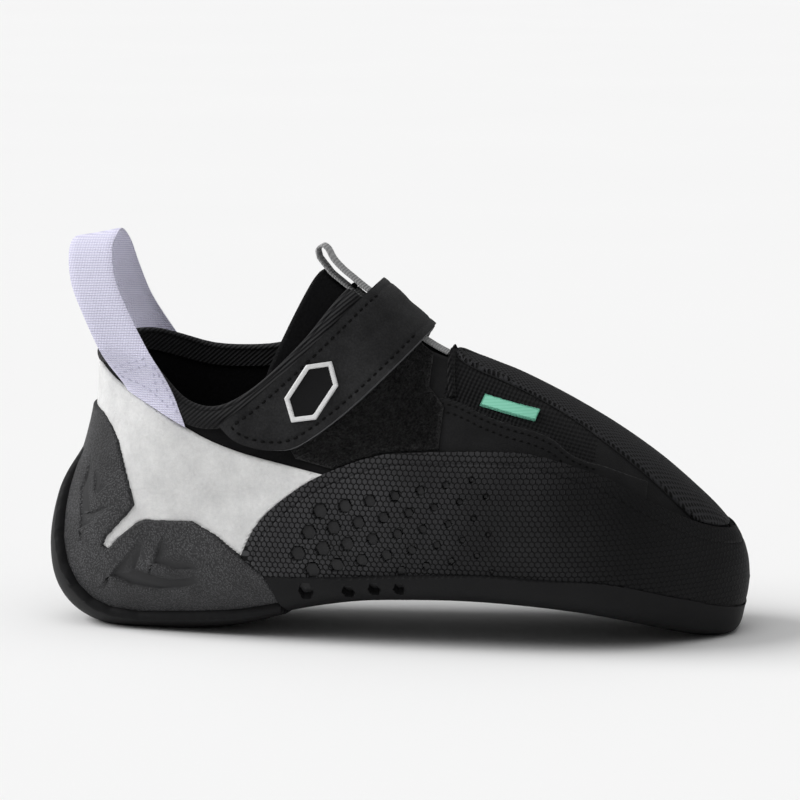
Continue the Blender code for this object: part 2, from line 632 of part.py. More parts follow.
def webbing(name, points, thickness, look):
    """A closed webbing from its rows of points, with thickness shared by its two faces."""
    rows, columns = points.shape[:2]
    faces = [(i * columns + j, i * columns + j + 1, (i + 1) * columns + j + 1, (i + 1) * columns + j)
             for i in range(rows - 1) for j in range(columns - 1)]
    obj = mesh_object(name, points.reshape(-1, 3), faces, SHOE)
    thick = obj.modifiers.new("Thickness", "SOLIDIFY")
    thick.thickness = thickness
    thick.offset = 0.0
    graph = bpy.context.evaluated_depsgraph_get()
    obj.data = bpy.data.meshes.new_from_object(obj.evaluated_get(graph))
    obj.modifiers.clear()
    face_outward(obj)
    return finish(obj, look)


def laid_on_sides(points, lift, free_from, free_to):
    """Points moved sideways to lie lift above the last. They come free between two heights."""
    fine = last_grid(4 * STATIONS, 4 * AROUND)
    fine = fine + grid_normals(fine) * lift
    half = fine.shape[1] // 2
    sides = (fine[:, 2:half - 1].reshape(-1, 3), fine[:, half + 2:-1].reshape(-1, 3))
    laid = points.copy()
    for index in np.ndindex(points.shape[:2]):
        x, y, z = points[index]
        side = sides[0] if y < 0 else sides[1]
        distance = np.hypot(side[:, 0] - x, side[:, 2] - z) + 1e-6
        nearest = np.argsort(distance)[:4]
        target = np.average(side[nearest, 1], weights=1 / distance[nearest])
        hold = eased(np.clip((free_to - z) / (free_to - free_from), 0, 1))
        laid[index][1] = y + (target - y) * hold
    return laid


def make_heel_loop(look):
    """The pull loop: both ends lie on the upper under the collar, and end at the counter's edge."""
    rows = spline(np.array(HEEL_LOOP), np.linspace(0, len(HEEL_LOOP) - 1, 30))
    path = rows[:, :3] * (LENGTH, HEEL_WIDTH, LAST_HEIGHT) + (0, 0, STACK)
    lift = OVERLAY + BINDING_PLY + PLY_GAP + HEEL_LOOP_PLY / 2
    points = laid_on_sides(webbing_points(path, rows[:, 3:], HEEL_LOOP_WIDTH, 4), lift,
                           STACK + 0.60 * LAST_HEIGHT, STACK + 0.76 * LAST_HEIGHT)
    obj = webbing("heel_loop", points, HEEL_LOOP_PLY, look)
    cut(obj, below_line("loop_above_counter", COUNTER_TOP, drop=-PLY_GAP), "DIFFERENCE")
    return finish(obj, look)


def ridge_line(first, last, offset, count):
    """Points on the instep ridge between two rows of the last, lifted by offset."""
    rows = section_sizes()
    read = spline(rows, np.linspace(first, last, count))
    ridge = np.stack([read[:, 2], read[:, 10], read[:, 3]], axis=1)
    along = np.gradient(ridge, axis=0)
    normal = np.stack([along[:, 2], 0 * along[:, 1], -along[:, 0]], axis=1)
    return ridge + offset * normal / np.linalg.norm(normal, axis=1, keepdims=True)


def make_tongue_webbing(look):
    """The grey webbing down the ridge of the tongue, with its pull loop at the top."""
    lift = PLY_GAP / 2 + WEBBING_PLY / 2
    ridge = ridge_line(10.8, 2.2, lift, 14)
    loop = side_outline(WEBBING_LOOP, 2)
    loop = np.stack([loop[:, 0], np.full(len(loop), ridge[-1][1]), loop[:, 1]], axis=1)
    path = np.vstack([ridge, loop])
    across = np.tile((0.0, 1.0, 0.0), (len(path), 1))
    return webbing("tongue_webbing", webbing_points(path, across, WEBBING_WIDTH), WEBBING_PLY, look)


def move_to_heel_centre():
    """Puts the origin on the floor under the middle of the heel."""
    for obj in SHOE.objects:
        obj.data.transform(Matrix.Translation((-HEEL_CENTRE, 0, 0)))


clear_scene()
SHOE = new_collection("climbing_shoe")
FORMS = new_collection("cutters")

rubber = material("rubber", RUBBER, 0.75)
textile = material("black textile", SOFT_BLACK, 0.9)
make_upper(textile)
make_outsole(material("sole rubber", RUBBER, 0.6))
make_rand(rubber)
make_heel_cup(rubber)
make_heel_strip(rubber)
make_counter(material("white rubberised leather", OFF_WHITE, 0.6))
make_insole(material("insole", SOFT_BLACK, 0.9))
make_tongue(material("stretch fabric", SOFT_BLACK, 0.85))
make_toe_patch(rubber)
make_collar_binding(material("binding", SOFT_BLACK, 0.9))
make_loop_patch(material("loop pile", SOFT_BLACK, 1.0))
make_strap(material("microfibre", SOFT_BLACK, 0.7))
make_badge(material("moulded badge", OFF_WHITE, 0.4))
make_label(material("woven label", MINT, 0.7))
make_tongue_webbing(material("grey webbing", (0.30, 0.30, 0.30), 0.8))
make_heel_loop(material("lilac webbing", LILAC, 0.8))
move_to_heel_centre()
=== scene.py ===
# %% [markdown]
# # A climbing shoe, made from one surface
#
# A climbing shoe is built on a last, a block with the shape of the foot it is for. Thin plies of leather,
# knitted cloth and rubber are stretched over it, one on top of another. This lesson does the same in code.
# It works out the last as a smooth surface, and then lays each ply on it: where a ply lies is a line drawn
# in a side view, and how thick it is says how far it stands off the last.
#
# The shoe stands on the floor at Z = 0, with its toe towards +X and its inner (medial) side towards +Y.

# %% The frame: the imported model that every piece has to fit
import math

import bpy
import numpy as np
from mathutils import Matrix, Vector
from mathutils.kdtree import KDTree


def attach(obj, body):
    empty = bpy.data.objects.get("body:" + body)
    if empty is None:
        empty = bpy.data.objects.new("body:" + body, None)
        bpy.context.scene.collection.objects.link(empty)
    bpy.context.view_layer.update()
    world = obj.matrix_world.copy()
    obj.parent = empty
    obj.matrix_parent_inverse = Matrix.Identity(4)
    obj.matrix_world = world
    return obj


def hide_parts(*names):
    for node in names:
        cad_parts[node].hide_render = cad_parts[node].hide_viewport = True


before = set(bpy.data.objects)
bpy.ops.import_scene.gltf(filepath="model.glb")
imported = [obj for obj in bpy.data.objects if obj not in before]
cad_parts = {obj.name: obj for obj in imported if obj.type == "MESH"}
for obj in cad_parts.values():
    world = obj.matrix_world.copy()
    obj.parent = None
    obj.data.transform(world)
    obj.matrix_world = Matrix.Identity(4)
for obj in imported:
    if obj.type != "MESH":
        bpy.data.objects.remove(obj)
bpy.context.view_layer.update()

# %% [markdown]
# ## The last
#
# A table holds 24 sections. The first ones lie above the ankle's opening, the next turn round the heel like
# the ribs of a fan, and the rest follow the foot to the tip of the toes. A section starts at the back or
# the bottom, at `back_x, back_z`, and ends on the ridge of the instep, at `top_x, top_z`. Lengths are shares
# of the shoe's length, heights shares of the last's height, so the table reads like proportions of a foot.

# %% The sizes and the table of sections
LENGTH = 0.245
LAST_HEIGHT = 0.125
HEEL_WIDTH = 0.060
TOE_INSET = 0.013
BALL_WIDTH = 0.082
STACK = 0.0058
HEEL_CENTRE = 0.148 * LENGTH

SECTIONS = np.array((
    # back_x back_z top_x top_z lateral medial widest low high keel ridge
    (0.092, 0.840, 0.335, 1.120, 0.440, 0.440, 0.46, 2.0, 2.1, 0.00, 0.20),
    (0.084, 0.700, 0.370, 1.000, 0.450, 0.450, 0.46, 2.0, 2.1, 0.00, 0.20),
    (0.081, 0.580, 0.396, 0.948, 0.460, 0.460, 0.45, 2.0, 2.1, 0.00, 0.20),
    (0.067, 0.458, 0.418, 0.912, 0.470, 0.470, 0.45, 2.1, 2.1, 0.00, 0.20),
    (0.047, 0.350, 0.438, 0.882, 0.480, 0.480, 0.44, 2.1, 2.1, 0.00, 0.20),
    (0.032, 0.250, 0.457, 0.856, 0.490, 0.490, 0.44, 2.1, 2.1, 0.00, 0.20),
    (0.027, 0.162, 0.475, 0.832, 0.500, 0.500, 0.43, 2.1, 2.1, 0.00, 0.20),
    (0.034, 0.082, 0.492, 0.808, 0.508, 0.505, 0.42, 2.1, 2.1, 0.00, 0.20),
    (0.058, 0.026, 0.510, 0.788, 0.516, 0.510, 0.41, 2.1, 2.1, 0.00, 0.20),
    (0.102, 0.000, 0.530, 0.764, 0.525, 0.515, 0.40, 2.2, 2.1, 0.00, 0.20),
    (0.184, 0.000, 0.552, 0.738, 0.545, 0.520, 0.38, 2.4, 2.1, 0.00, 0.20),
    (0.270, 0.020, 0.574, 0.716, 0.575, 0.525, 0.36, 2.8, 2.1, 0.00, 0.22),
    (0.360, 0.070, 0.598, 0.696, 0.605, 0.535, 0.34, 3.4, 2.1, 0.00, 0.26),
    (0.448, 0.102, 0.624, 0.680, 0.638, 0.560, 0.33, 3.6, 2.1, 0.00, 0.30),
    (0.530, 0.112, 0.656, 0.658, 0.662, 0.605, 0.33, 3.6, 2.1, 0.00, 0.34),
    (0.610, 0.114, 0.694, 0.622, 0.675, 0.655, 0.33, 3.6, 2.2, 0.05, 0.38),
    (0.692, 0.106, 0.742, 0.572, 0.668, 0.690, 0.34, 3.6, 2.2, 0.10, 0.42),
    (0.774, 0.086, 0.798, 0.506, 0.610, 0.700, 0.35, 3.5, 2.2, 0.25, 0.50),
    (0.846, 0.054, 0.856, 0.426, 0.475, 0.680, 0.36, 3.4, 2.2, 0.50, 0.60),
    (0.899, 0.022, 0.905, 0.344, 0.300, 0.620, 0.38, 3.2, 2.2, 0.75, 0.75),
    (0.937, 0.003, 0.941, 0.276, 0.135, 0.530, 0.41, 3.0, 2.2, 0.90, 0.90),
    (0.961, 0.004, 0.963, 0.218, 0.000, 0.440, 0.45, 2.8, 2.2, 1.00, 1.00),
    (0.973, 0.048, 0.974, 0.164, -0.110, 0.340, 0.50, 2.5, 2.2, 1.00, 1.00),
    (0.978, 0.104, 0.978, 0.106, -0.205, 0.227, 0.50, 2.2, 2.2, 1.00, 1.00),
))
print("sections:", len(SECTIONS), "each with", SECTIONS.shape[1], "numbers")

# %% [markdown]
# A Catmull-Rom curve runs smoothly through rows of numbers. Along the foot it blends one section into the
# next. Across it, each section is two half ovals, one above and one below its widest line.

# %% From the table to a dense net of points on the last
def spline(points, samples):
    """Catmull-Rom through the rows of points, read at samples, which count rows."""
    points = np.asarray(points, float)
    padded = np.vstack([2 * points[0] - points[1], points, 2 * points[-1] - points[-2]])
    index = np.clip(np.floor(samples).astype(int), 0, len(points) - 2)
    t = (samples - index)[:, None]
    a, b, c, d = (padded[index + k] for k in range(4))
    curve = (2 * b + (c - a) * t + (2 * a - 5 * b + 4 * c - d) * t**2
             + (3 * b - a - 3 * c + d) * t**3)
    return 0.5 * curve


def sections_in_metres():
    """The table's rows in metres."""
    rows = SECTIONS.copy()
    rows[:, [0, 2]] *= LENGTH
    rows[:, [1, 3]] = STACK + rows[:, [1, 3]] * LAST_HEIGHT
    rows[:, 4] *= -HEEL_WIDTH
    rows[:, 5] *= HEEL_WIDTH
    rows[:, [9, 10]] *= TOE_INSET
    return rows


def last_points(rows_read, angles):
    """Points of the last at those rows and angles.

    Angle 0 is the bottom's middle, and pi the ridge, with the lateral side in between."""
    read = spline(sections_in_metres(), rows_read)
    back_x, back_z, top_x, top_z, lateral, medial, widest, low, high, keel, ridge = (
        read[:, k:k + 1] for k in range(read.shape[1]))
    turn = angles[None, :]
    angle = np.where(turn <= math.pi, turn, 2 * math.pi - turn)
    reach = np.where(turn <= math.pi, lateral, medial)
    below = angle <= math.pi / 2
    power = 2 / np.where(below, low, high)
    sine = np.abs(np.sin(angle)) ** power
    cosine = np.abs(np.cos(angle)) ** power
    up = np.where(below, widest * (1 - cosine), widest + (1 - widest) * cosine)
    middle = np.where(below, keel, ridge)
    y = middle + (reach - middle) * sine
    return np.stack([back_x + (top_x - back_x) * up, y, back_z + (top_z - back_z) * up], axis=-1)


def evenly_spaced(points, count):
    """Rows of points resampled to count points each, evenly along each row."""
    step = np.linalg.norm(np.diff(points, axis=1), axis=2)
    travelled = np.concatenate([np.zeros((len(points), 1)), np.cumsum(step, axis=1)], axis=1)
    travelled /= travelled[:, -1:]
    wanted = np.linspace(0, 1, count)
    return np.array([[np.interp(wanted, t, row[:, k]) for k in range(3)]
                     for t, row in zip(travelled, points)]).transpose(0, 2, 1)


NET_ALONG = 480
NET_HALF = 180
NET_AROUND = 2 * NET_HALF
ANGLES_READ = 900
ROWS_READ = 1400
RIB_POINTS = 48
half_turn = np.linspace(0, math.pi, ANGLES_READ)
many_rows = np.linspace(0, len(SECTIONS) - 1, ROWS_READ)
ribs = last_points(many_rows, np.linspace(0, 2 * math.pi, RIB_POINTS))
rib_step = np.linalg.norm(np.diff(ribs, axis=0), axis=2).mean(axis=1)
rib_travel = np.concatenate([[0], np.cumsum(rib_step)])
rows_read = np.interp(np.linspace(0, rib_travel[-1], NET_ALONG), rib_travel, many_rows)
lateral_half = evenly_spaced(last_points(rows_read, half_turn), NET_HALF + 1)
medial_half = evenly_spaced(last_points(rows_read, 2 * math.pi - half_turn), NET_HALF + 1)
NET = np.concatenate([lateral_half, medial_half[:, -2:0:-1]], axis=1)
print("net of the last:", NET.shape[:2])
print("one step along is", round(1000 * rib_travel[-1] / NET_ALONG, 2), "mm")


def net_normals(points):
    """Outward unit normals of the net, which closes round its second axis.

    The last few rows shrink to a point at the toe, so their normals simply point ahead."""
    along = np.gradient(points, axis=0)
    across = np.roll(points, -1, axis=1) - np.roll(points, 1, axis=1)
    normals = np.cross(along, across)
    normals[-3:] = (1, 0, 0)
    return normals / np.maximum(np.linalg.norm(normals, axis=-1, keepdims=True), 1e-15)


NET_OUT = net_normals(NET)


def read_net(along, around):
    """Points and normals of the last at fractions of net steps."""
    along = np.clip(along, 0, NET_ALONG - 1.0001)
    i = along.astype(int)
    s = (along - i)[..., None]
    j = np.floor(around).astype(int)
    t = (around - j)[..., None]
    j, k = j % NET_AROUND, (j + 1) % NET_AROUND
    found = []
    for table in (NET, NET_OUT):
        near = table[i, j] * (1 - t) + table[i, k] * t
        far = table[i + 1, j] * (1 - t) + table[i + 1, k] * t
        found.append(near * (1 - s) + far * s)
    found[1] /= np.maximum(np.linalg.norm(found[1], axis=-1, keepdims=True), 1e-12)
    return found

# %% [markdown]
# ## Laying a ply
#
# A ply is a patch of the last's surface with a thickness. Its outline is drawn in the side view, so each
# point of the net gets a signed distance to that outline. Points next to the outline slide onto it, which
# gives a smooth edge, and triangles outside it are left out. Near its edge the ply thins out in a small
# round, as a cut edge does.

# %% Outlines in the side view
def side_outline(shares, per_span=3):
    """A smooth line through points given in shares of LENGTH and LAST_HEIGHT, in metres. 0 keeps corners."""
    outline = np.array(shares, float)
    if per_span:
        count = (len(outline) - 1) * per_span + 1
        outline = spline(outline, np.linspace(0, len(outline) - 1, count))
    return outline * (LENGTH, LAST_HEIGHT) + (0, STACK)


def inside_distance(flat, outline):
    """Signed distance of flat points to a closed outline, positive inside."""
    start, end = outline, np.roll(outline, -1, axis=0)
    nearest = np.full(len(flat), 1e9)
    crossings = np.zeros(len(flat), int)
    for a, b in zip(start, end):
        way = b - a
        length = max(float(way @ way), 1e-18)
        share = np.clip(((flat - a) @ way) / length, 0, 1)
        gap = flat - a - share[:, None] * way
        nearest = np.minimum(nearest, np.hypot(gap[:, 0], gap[:, 1]))
        straddles = (a[1] > flat[:, 1]) != (b[1] > flat[:, 1])
        with np.errstate(divide="ignore", invalid="ignore"):
            at = a[0] + (flat[:, 1] - a[1]) * way[0] / way[1]
        crossings += straddles & (flat[:, 0] < at)
    return np.where(crossings % 2, nearest, -nearest)


def seen_within(outline):
    """A region: all that the side view shows within a closed outline, in metres."""
    outline = np.array(outline)
    return lambda points: inside_distance(points[:, [0, 2]], outline)


def below_line(line):
    """A region: all that the side view shows below a line, in metres."""
    return seen_within(np.vstack([line, [(line[-1][0], -LAST_HEIGHT), (line[0][0], -LAST_HEIGHT)]]))


def under(shares):
    """A region: all that lies below a side view's line, in shares."""
    return below_line(side_outline(shares))


def closed(shares, per_span=0):
    """A region: all that lies within a side view's closed outline, in shares."""
    return seen_within(side_outline(shares, per_span))


def plan(outline):
    """A region: all that lies within a closed outline seen from above, in metres."""
    outline = np.array(outline)
    return lambda points: inside_distance(points[:, [0, 1]], outline)


def two_sided(lateral, medial):
    """A region that is lateral where y is below zero and medial above."""
    return lambda points: np.where(points[:, 1] < 0, lateral(points), medial(points))


def both(*regions):
    """Where all the regions are."""
    return lambda points: np.min([region(points) for region in regions], axis=0)


def without(region, gap=0.0):
    """Where the region isn't, and not within gap of it either."""
    return lambda points: -region(points) - gap


# %% Steps and heights on the net
CREST_FROM = 0.70
CREST_OVER = 0.16


def eased(share):
    """A share from 0 to 1, made to start and end gently."""
    return share * share * (3 - 2 * share)


def bell(distance, middle, width):
    """1 at the middle distance, falling off to both sides within about width."""
    return np.exp(-((distance - middle) / width) ** 2)


def steps(first, last, pitch):
    """Net steps from first to last, about pitch apart."""
    return np.linspace(first, last, max(2, int(round(abs(last - first) / pitch)) + 1))


def row_step(row):
    """The net step at a row of the table."""
    return float(np.interp(row, rows_read, np.arange(NET_ALONG)))


def lifted(points, normals, height, crest):
    """Points at height above the last, with crest more near the top of the instep."""
    climb = np.clip((points[:, 2] - STACK - CREST_FROM * LAST_HEIGHT) / (CREST_OVER * LAST_HEIGHT), 0, 1)
    return points + normals * (height + crest * eased(climb))[:, None]


# %% From a region to a mesh
MIDDLE_OF_SOLE = 0.0012


def triangles_of(sign, region, points):
    """Triangles of the grid that lie in the region, once no grid edge crosses its outline."""
    rows, columns = sign.shape
    index = np.arange(rows * columns).reshape(rows, columns)
    a, b, c, d = (index[:-1, :-1], index[:-1, 1:], index[1:, 1:], index[1:, :-1])
    flat = sign.ravel()
    split = (flat[a] * flat[c] < 0)
    first = np.where(split[..., None], np.stack([a, b, d], -1), np.stack([a, b, c], -1)).reshape(-1, 3)
    second = np.where(split[..., None], np.stack([b, c, d], -1), np.stack([a, c, d], -1)).reshape(-1, 3)
    faces = np.concatenate([first, second])
    lowest, highest = flat[faces].min(axis=1), flat[faces].max(axis=1)
    kept = (lowest >= 0) & (highest > 0)
    unsure = (lowest == 0) & (highest == 0)
    if unsure.any():
        kept[unsure] = region(points[faces[unsure]].mean(axis=1)) > 0
    return faces[kept]


def beside_outline(value):
    """Which grid points lie next to the outline: of each grid edge that crosses it, the nearer end."""
    chosen = np.zeros(value.shape, bool)
    for grid, marks in ((value, chosen), (value.T, chosen.T)):
        near, far = grid[:-1], grid[1:]
        crosses = near * far < 0
        first = crosses & (np.abs(near) <= np.abs(far))
        marks[:-1] |= first
        marks[1:] |= crosses & ~first
    return chosen


def walled(faces, outer, inner, back):
    """A ply from its outer triangles: vertices, faces, and counts of its front and wall faces.

    Walls join the rims of the outer and inner points. back also makes the inner triangles."""
    sides = np.concatenate([faces[:, [0, 1]], faces[:, [1, 2]], faces[:, [2, 0]]])
    there = {(int(p), int(q)) for p, q in sides}
    rim = np.array([(p, q) for p, q in there if (q, p) not in there])
    count = len(outer)
    if back:
        inner_of = np.arange(count) + count
        vertices = np.concatenate([outer, inner])
    else:
        rim_points = np.unique(rim)
        inner_of = np.zeros(count, int)
        inner_of[rim_points] = count + np.arange(len(rim_points))
        vertices = np.concatenate([outer, inner[rim_points]])
    walls = [(int(q), int(p), int(inner_of[p]), int(inner_of[q])) for p, q in rim]
    fronts = [tuple(face) for face in faces.tolist()]
    backs = [(r + count, q + count, p + count) for p, q, r in fronts] if back else []
    return vertices, fronts + walls + backs, (len(fronts), len(walls))


def lay(region, low, high, along, around, edge=0.0007, relief=None, crest=0.0, back=False):
    """A ply on the last between two heights, within region: vertices, faces, counts of fronts and walls.

    along and around are the net steps it is made at. Its outline is rounded over edge, or left square by 0.
    high may be a function of the normals. relief(points, distance) adds to the outer height.
    back also makes its inner face, for a ply that is seen from inside."""
    a, b = np.meshgrid(along, around, indexing="ij")
    level = low + MIDDLE_OF_SOLE if callable(high) else (low + high) / 2

    def middle_of_ply(points, normals):
        flat, out = points.reshape(-1, 3), normals.reshape(-1, 3)
        return lifted(flat, out, np.full(len(flat), level), crest).reshape(points.shape)

    points = middle_of_ply(*read_net(a, b))
    value = region(points.reshape(-1, 3)).reshape(a.shape)
    step_a, step_b = np.gradient(along)[:, None], np.gradient(around)[None, :]
    point_a = np.gradient(points, axis=0) / step_a[..., None]
    point_b = np.gradient(points, axis=1) / step_b[..., None]
    value_a, value_b = np.gradient(value, axis=0) / step_a, np.gradient(value, axis=1) / step_b
    e, f, g = ((point_a * point_a).sum(-1), (point_a * point_b).sum(-1), (point_b * point_b).sum(-1))
    area = np.maximum(e * g - f * f, 1e-18)
    grow_a, grow_b = (g * value_a - f * value_b) / area, (e * value_b - f * value_a) / area
    slope = np.maximum(grow_a * value_a + grow_b * value_b, 1e-9)

    slide = beside_outline(value)
    current = value.copy()
    for _ in range(2):
        a = np.where(slide, a - np.clip(current * grow_a / slope, -step_a, step_a), a)
        b = np.where(slide, b - np.clip(current * grow_b / slope, -step_b, step_b), b)
        points, normals = read_net(a, b)
        middles = middle_of_ply(points, normals)
        current[slide] = region(middles[slide])
    value[slide] = 0
    points, normals = points.reshape(-1, 3), normals.reshape(-1, 3)
    middles = middles.reshape(-1, 3)
    faces = triangles_of(np.sign(value), region, middles)

    if callable(high):
        high = high(normals)
    distance = np.clip((value / np.clip(np.sqrt(slope), 0.3, 1.5)).ravel(), 0, None)
    rounded = np.ones(len(distance))
    if edge:
        rounded = 0.35 + 0.65 * np.sqrt(1 - (1 - np.clip(distance / edge, 0, 1)) ** 2)
    height = low + (high - low) * rounded
    if relief is not None:
        height = height + relief(middles, distance)
    used, faces = np.unique(faces, return_inverse=True)
    faces = faces.reshape(-1, 3)
    outer = lifted(points[used], normals[used], height[used], crest)
    inner = lifted(points[used], normals[used], np.full(len(used), low), crest)
    return walled(faces, outer, inner, back)


# %% [markdown]
# ## From vertices to a finished piece
#
# Each piece gets a map of its surface in metres, so that a pattern can be drawn at its real size: along the
# shoe, measured round its outline as seen from above, and up. Every piece rides on the shoe's one body and
# takes the place of its plain solid.

# %% Making pieces
SHARP_ANGLE = math.radians(55)


def outline_from_above():
    """The shoe's widest line from above: from the heel along the lateral side, round the toe and back."""
    quarter = NET_HALF // 2
    first = int(row_step(9))
    return np.concatenate([NET[first:, quarter, :2], NET[:first:-1, -quarter, :2]])


PLAN_LINE = outline_from_above()[::6]
PLAN_TRAVEL = np.concatenate([[0], np.cumsum(np.hypot(*np.diff(PLAN_LINE, axis=0).T))])


def surface_map(vertices):
    """Metres round the shoe's outline and metres up, for each vertex."""
    nearest = np.full(len(vertices), 1e9)
    travel = np.zeros(len(vertices))
    for a, b, start in zip(PLAN_LINE[:-1], PLAN_LINE[1:], PLAN_TRAVEL):
        way = b - a
        length = float(np.hypot(*way)) + 1e-12
        share = np.clip(((vertices[:, :2] - a) @ way) / length**2, 0, 1)
        gap = np.hypot(*(vertices[:, :2] - a - share[:, None] * way).T)
        closer = gap < nearest
        nearest = np.where(closer, gap, nearest)
        travel = np.where(closer, start + share * length, travel)
    return np.stack([travel, vertices[:, 2]], axis=1)


def make_piece(name, vertices, faces, looks, node="", look_of_face=None, mapped=None, polish_and_shade=None):
    """A mesh object of the shoe, moved from the last's frame to the row's, with its materials and its map.

    polish_and_shade is how smooth each vertex is, from 0 to 1, for a material that asks for it. The heel
    rubber also paints shade by it."""
    mesh = bpy.data.meshes.new(name)
    mesh.from_pydata((np.asarray(vertices) - (HEEL_CENTRE, 0, 0)).tolist(), [], faces)
    for look in looks:
        mesh.materials.append(look)
    if look_of_face is not None:
        mesh.polygons.foreach_set("material_index", np.asarray(look_of_face, dtype=np.int32))
    mesh.shade_smooth()
    mesh.set_sharp_from_angle(angle=SHARP_ANGLE)
    layer = mesh.uv_layers.new(name="metres")
    corner_vertex = np.zeros(len(mesh.loops), dtype=np.int32)
    mesh.loops.foreach_get("vertex_index", corner_vertex)
    if mapped is None:
        mapped = surface_map(np.asarray(vertices))
    layer.data.foreach_set("uv", mapped[corner_vertex].astype(np.float32).ravel())
    if polish_and_shade is not None:
        mesh.attributes.new("polish_and_shade", "FLOAT", "POINT").data.foreach_set("value", polish_and_shade.astype(np.float32))
    mesh.update()
    made = bpy.data.objects.new(name, mesh)
    bpy.context.scene.collection.objects.link(made)
    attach(made, "root")
    if node:
        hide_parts(node)
    print(f"{name}: {len(mesh.polygons)} faces")

# %% [markdown]
# ## Colour and pattern
#
# Colours are written as sRGB hex values, the way a paint chart or a screen gives them, and one function
# turns them to the linear values that a shader needs. One more function adds a shader node. In a Map Range
# node, inputs 1 and 2 are the range it reads, and 3 and 4 the range it gives.
#
# Patterns are measured in metres. A noise's scale is how many of its grains fit in a metre: 2500 is a grain
# of 0.4 mm, and 50 makes clouds of 20 mm. Grains finer than a pixel are drawn as coarse as they need to show.

# %% Helpers for materials
def linear(hex_colour):
    """A colour as a shader needs it, from an sRGB hex value."""
    parts = [int(hex_colour[k:k + 2], 16) / 255 for k in (1, 3, 5)]
    return tuple(c / 12.92 if c <= 0.04045 else ((c + 0.055) / 1.055) ** 2.4 for c in parts) + (1.0,)


def node(tree, kind, links=None, **settings):
    """A shader node with its settings. links gives its inputs: a number, a colour, a node or an output."""
    made = tree.nodes.new(kind)
    for key, value in settings.items():
        setattr(made, key, value)
    for key, value in (links or {}).items():
        if isinstance(value, bpy.types.Node):
            value = value.outputs[0]
        if isinstance(value, bpy.types.NodeSocket):
            tree.links.new(value, made.inputs[key])
        else:
            made.inputs[key].default_value = value
    return made


def start_material(name, roughness, ior, gloss=0.25, sheen=0.0):
    """A material, its node tree and the place in space, in metres, that its patterns are drawn by."""
    made = bpy.data.materials.new(name)
    made.use_nodes = True
    tree = made.node_tree
    shader = tree.nodes["Principled BSDF"]
    shader.inputs["Roughness"].default_value = roughness
    shader.inputs["IOR"].default_value = ior
    shader.inputs["Specular IOR Level"].default_value = gloss
    shader.inputs["Sheen Weight"].default_value = sheen
    return made, tree, node(tree, "ShaderNodeTexCoord").outputs["Object"]


def wave_scale(pitch):
    """A Wave texture's scale for bands that lie pitch metres apart."""
    return math.pi / (10 * pitch)


def dress(tree, factor, dark, light, height, depth):
    """Colours the shader from dark to light by factor, and bumps it by height over depth metres."""
    shader = tree.nodes["Principled BSDF"]
    colour = node(tree, "ShaderNodeMix", {0: factor, 6: linear(dark), 7: linear(light)}, data_type="RGBA")
    tree.links.new(colour.outputs[2], shader.inputs["Base Color"])
    bump = node(tree, "ShaderNodeBump", {"Height": height, "Distance": depth})
    tree.links.new(bump.outputs["Normal"], shader.inputs["Normal"])


def hexagon_cells(tree, place, pitch):
    """How far inside its hexagon each point lies, from 0 at the edge to 0.5 in the middle."""
    half = math.sqrt(3) / 2
    scaled = node(tree, "ShaderNodeVectorMath", {0: place, 1: (1 / pitch, 1 / pitch, 0)},
                  operation="MULTIPLY")
    moved = node(tree, "ShaderNodeVectorMath", {0: scaled, 1: (0.5, half, 0)}, operation="ADD")
    even = node(tree, "ShaderNodeVectorMath", {0: scaled, 1: (0.5, half, 1), 2: (-0.5, -half, -1)},
                operation="WRAP")
    odd = node(tree, "ShaderNodeVectorMath", {0: moved, 1: (0.5, half, 1), 2: (-0.5, -half, -1)},
               operation="WRAP")
    even_length = node(tree, "ShaderNodeVectorMath", {0: even}, operation="LENGTH").outputs["Value"]
    odd_length = node(tree, "ShaderNodeVectorMath", {0: odd}, operation="LENGTH").outputs["Value"]
    nearer = node(tree, "ShaderNodeMath", {0: even_length, 1: odd_length}, operation="LESS_THAN")
    inner = node(tree, "ShaderNodeMix", {0: nearer, 4: odd.outputs[0], 5: even.outputs[0]},
                 data_type="VECTOR")
    folded = node(tree, "ShaderNodeVectorMath", {0: inner.outputs[1]}, operation="ABSOLUTE")
    slanted = node(tree, "ShaderNodeVectorMath", {0: folded, 1: (0.5, half, 0)},
                   operation="DOT_PRODUCT").outputs["Value"]
    straight = node(tree, "ShaderNodeSeparateXYZ", {0: folded})
    reach = node(tree, "ShaderNodeMath", {0: slanted, 1: straight.outputs["X"]}, operation="MAXIMUM")
    return node(tree, "ShaderNodeMath", {0: 0.5, 1: reach}, operation="SUBTRACT")

# %% [markdown]
# ## Rubber
#
# Climbing rubber is a black filled compound. The rand is moulded with a skin of small hexagonal scales,
# 2 mm from one to the next, which catch the light on their edges and fade to smooth towards the toe, where
# the rubber is ground down. The heel cup has a pebbled skin, as cast against an etched mould. The sole is
# calendered sheet: flat, finely matt, with faint marks of handling. The patch on the toes is knurled, so
# that it grips when a climber pulls with the top of the foot.

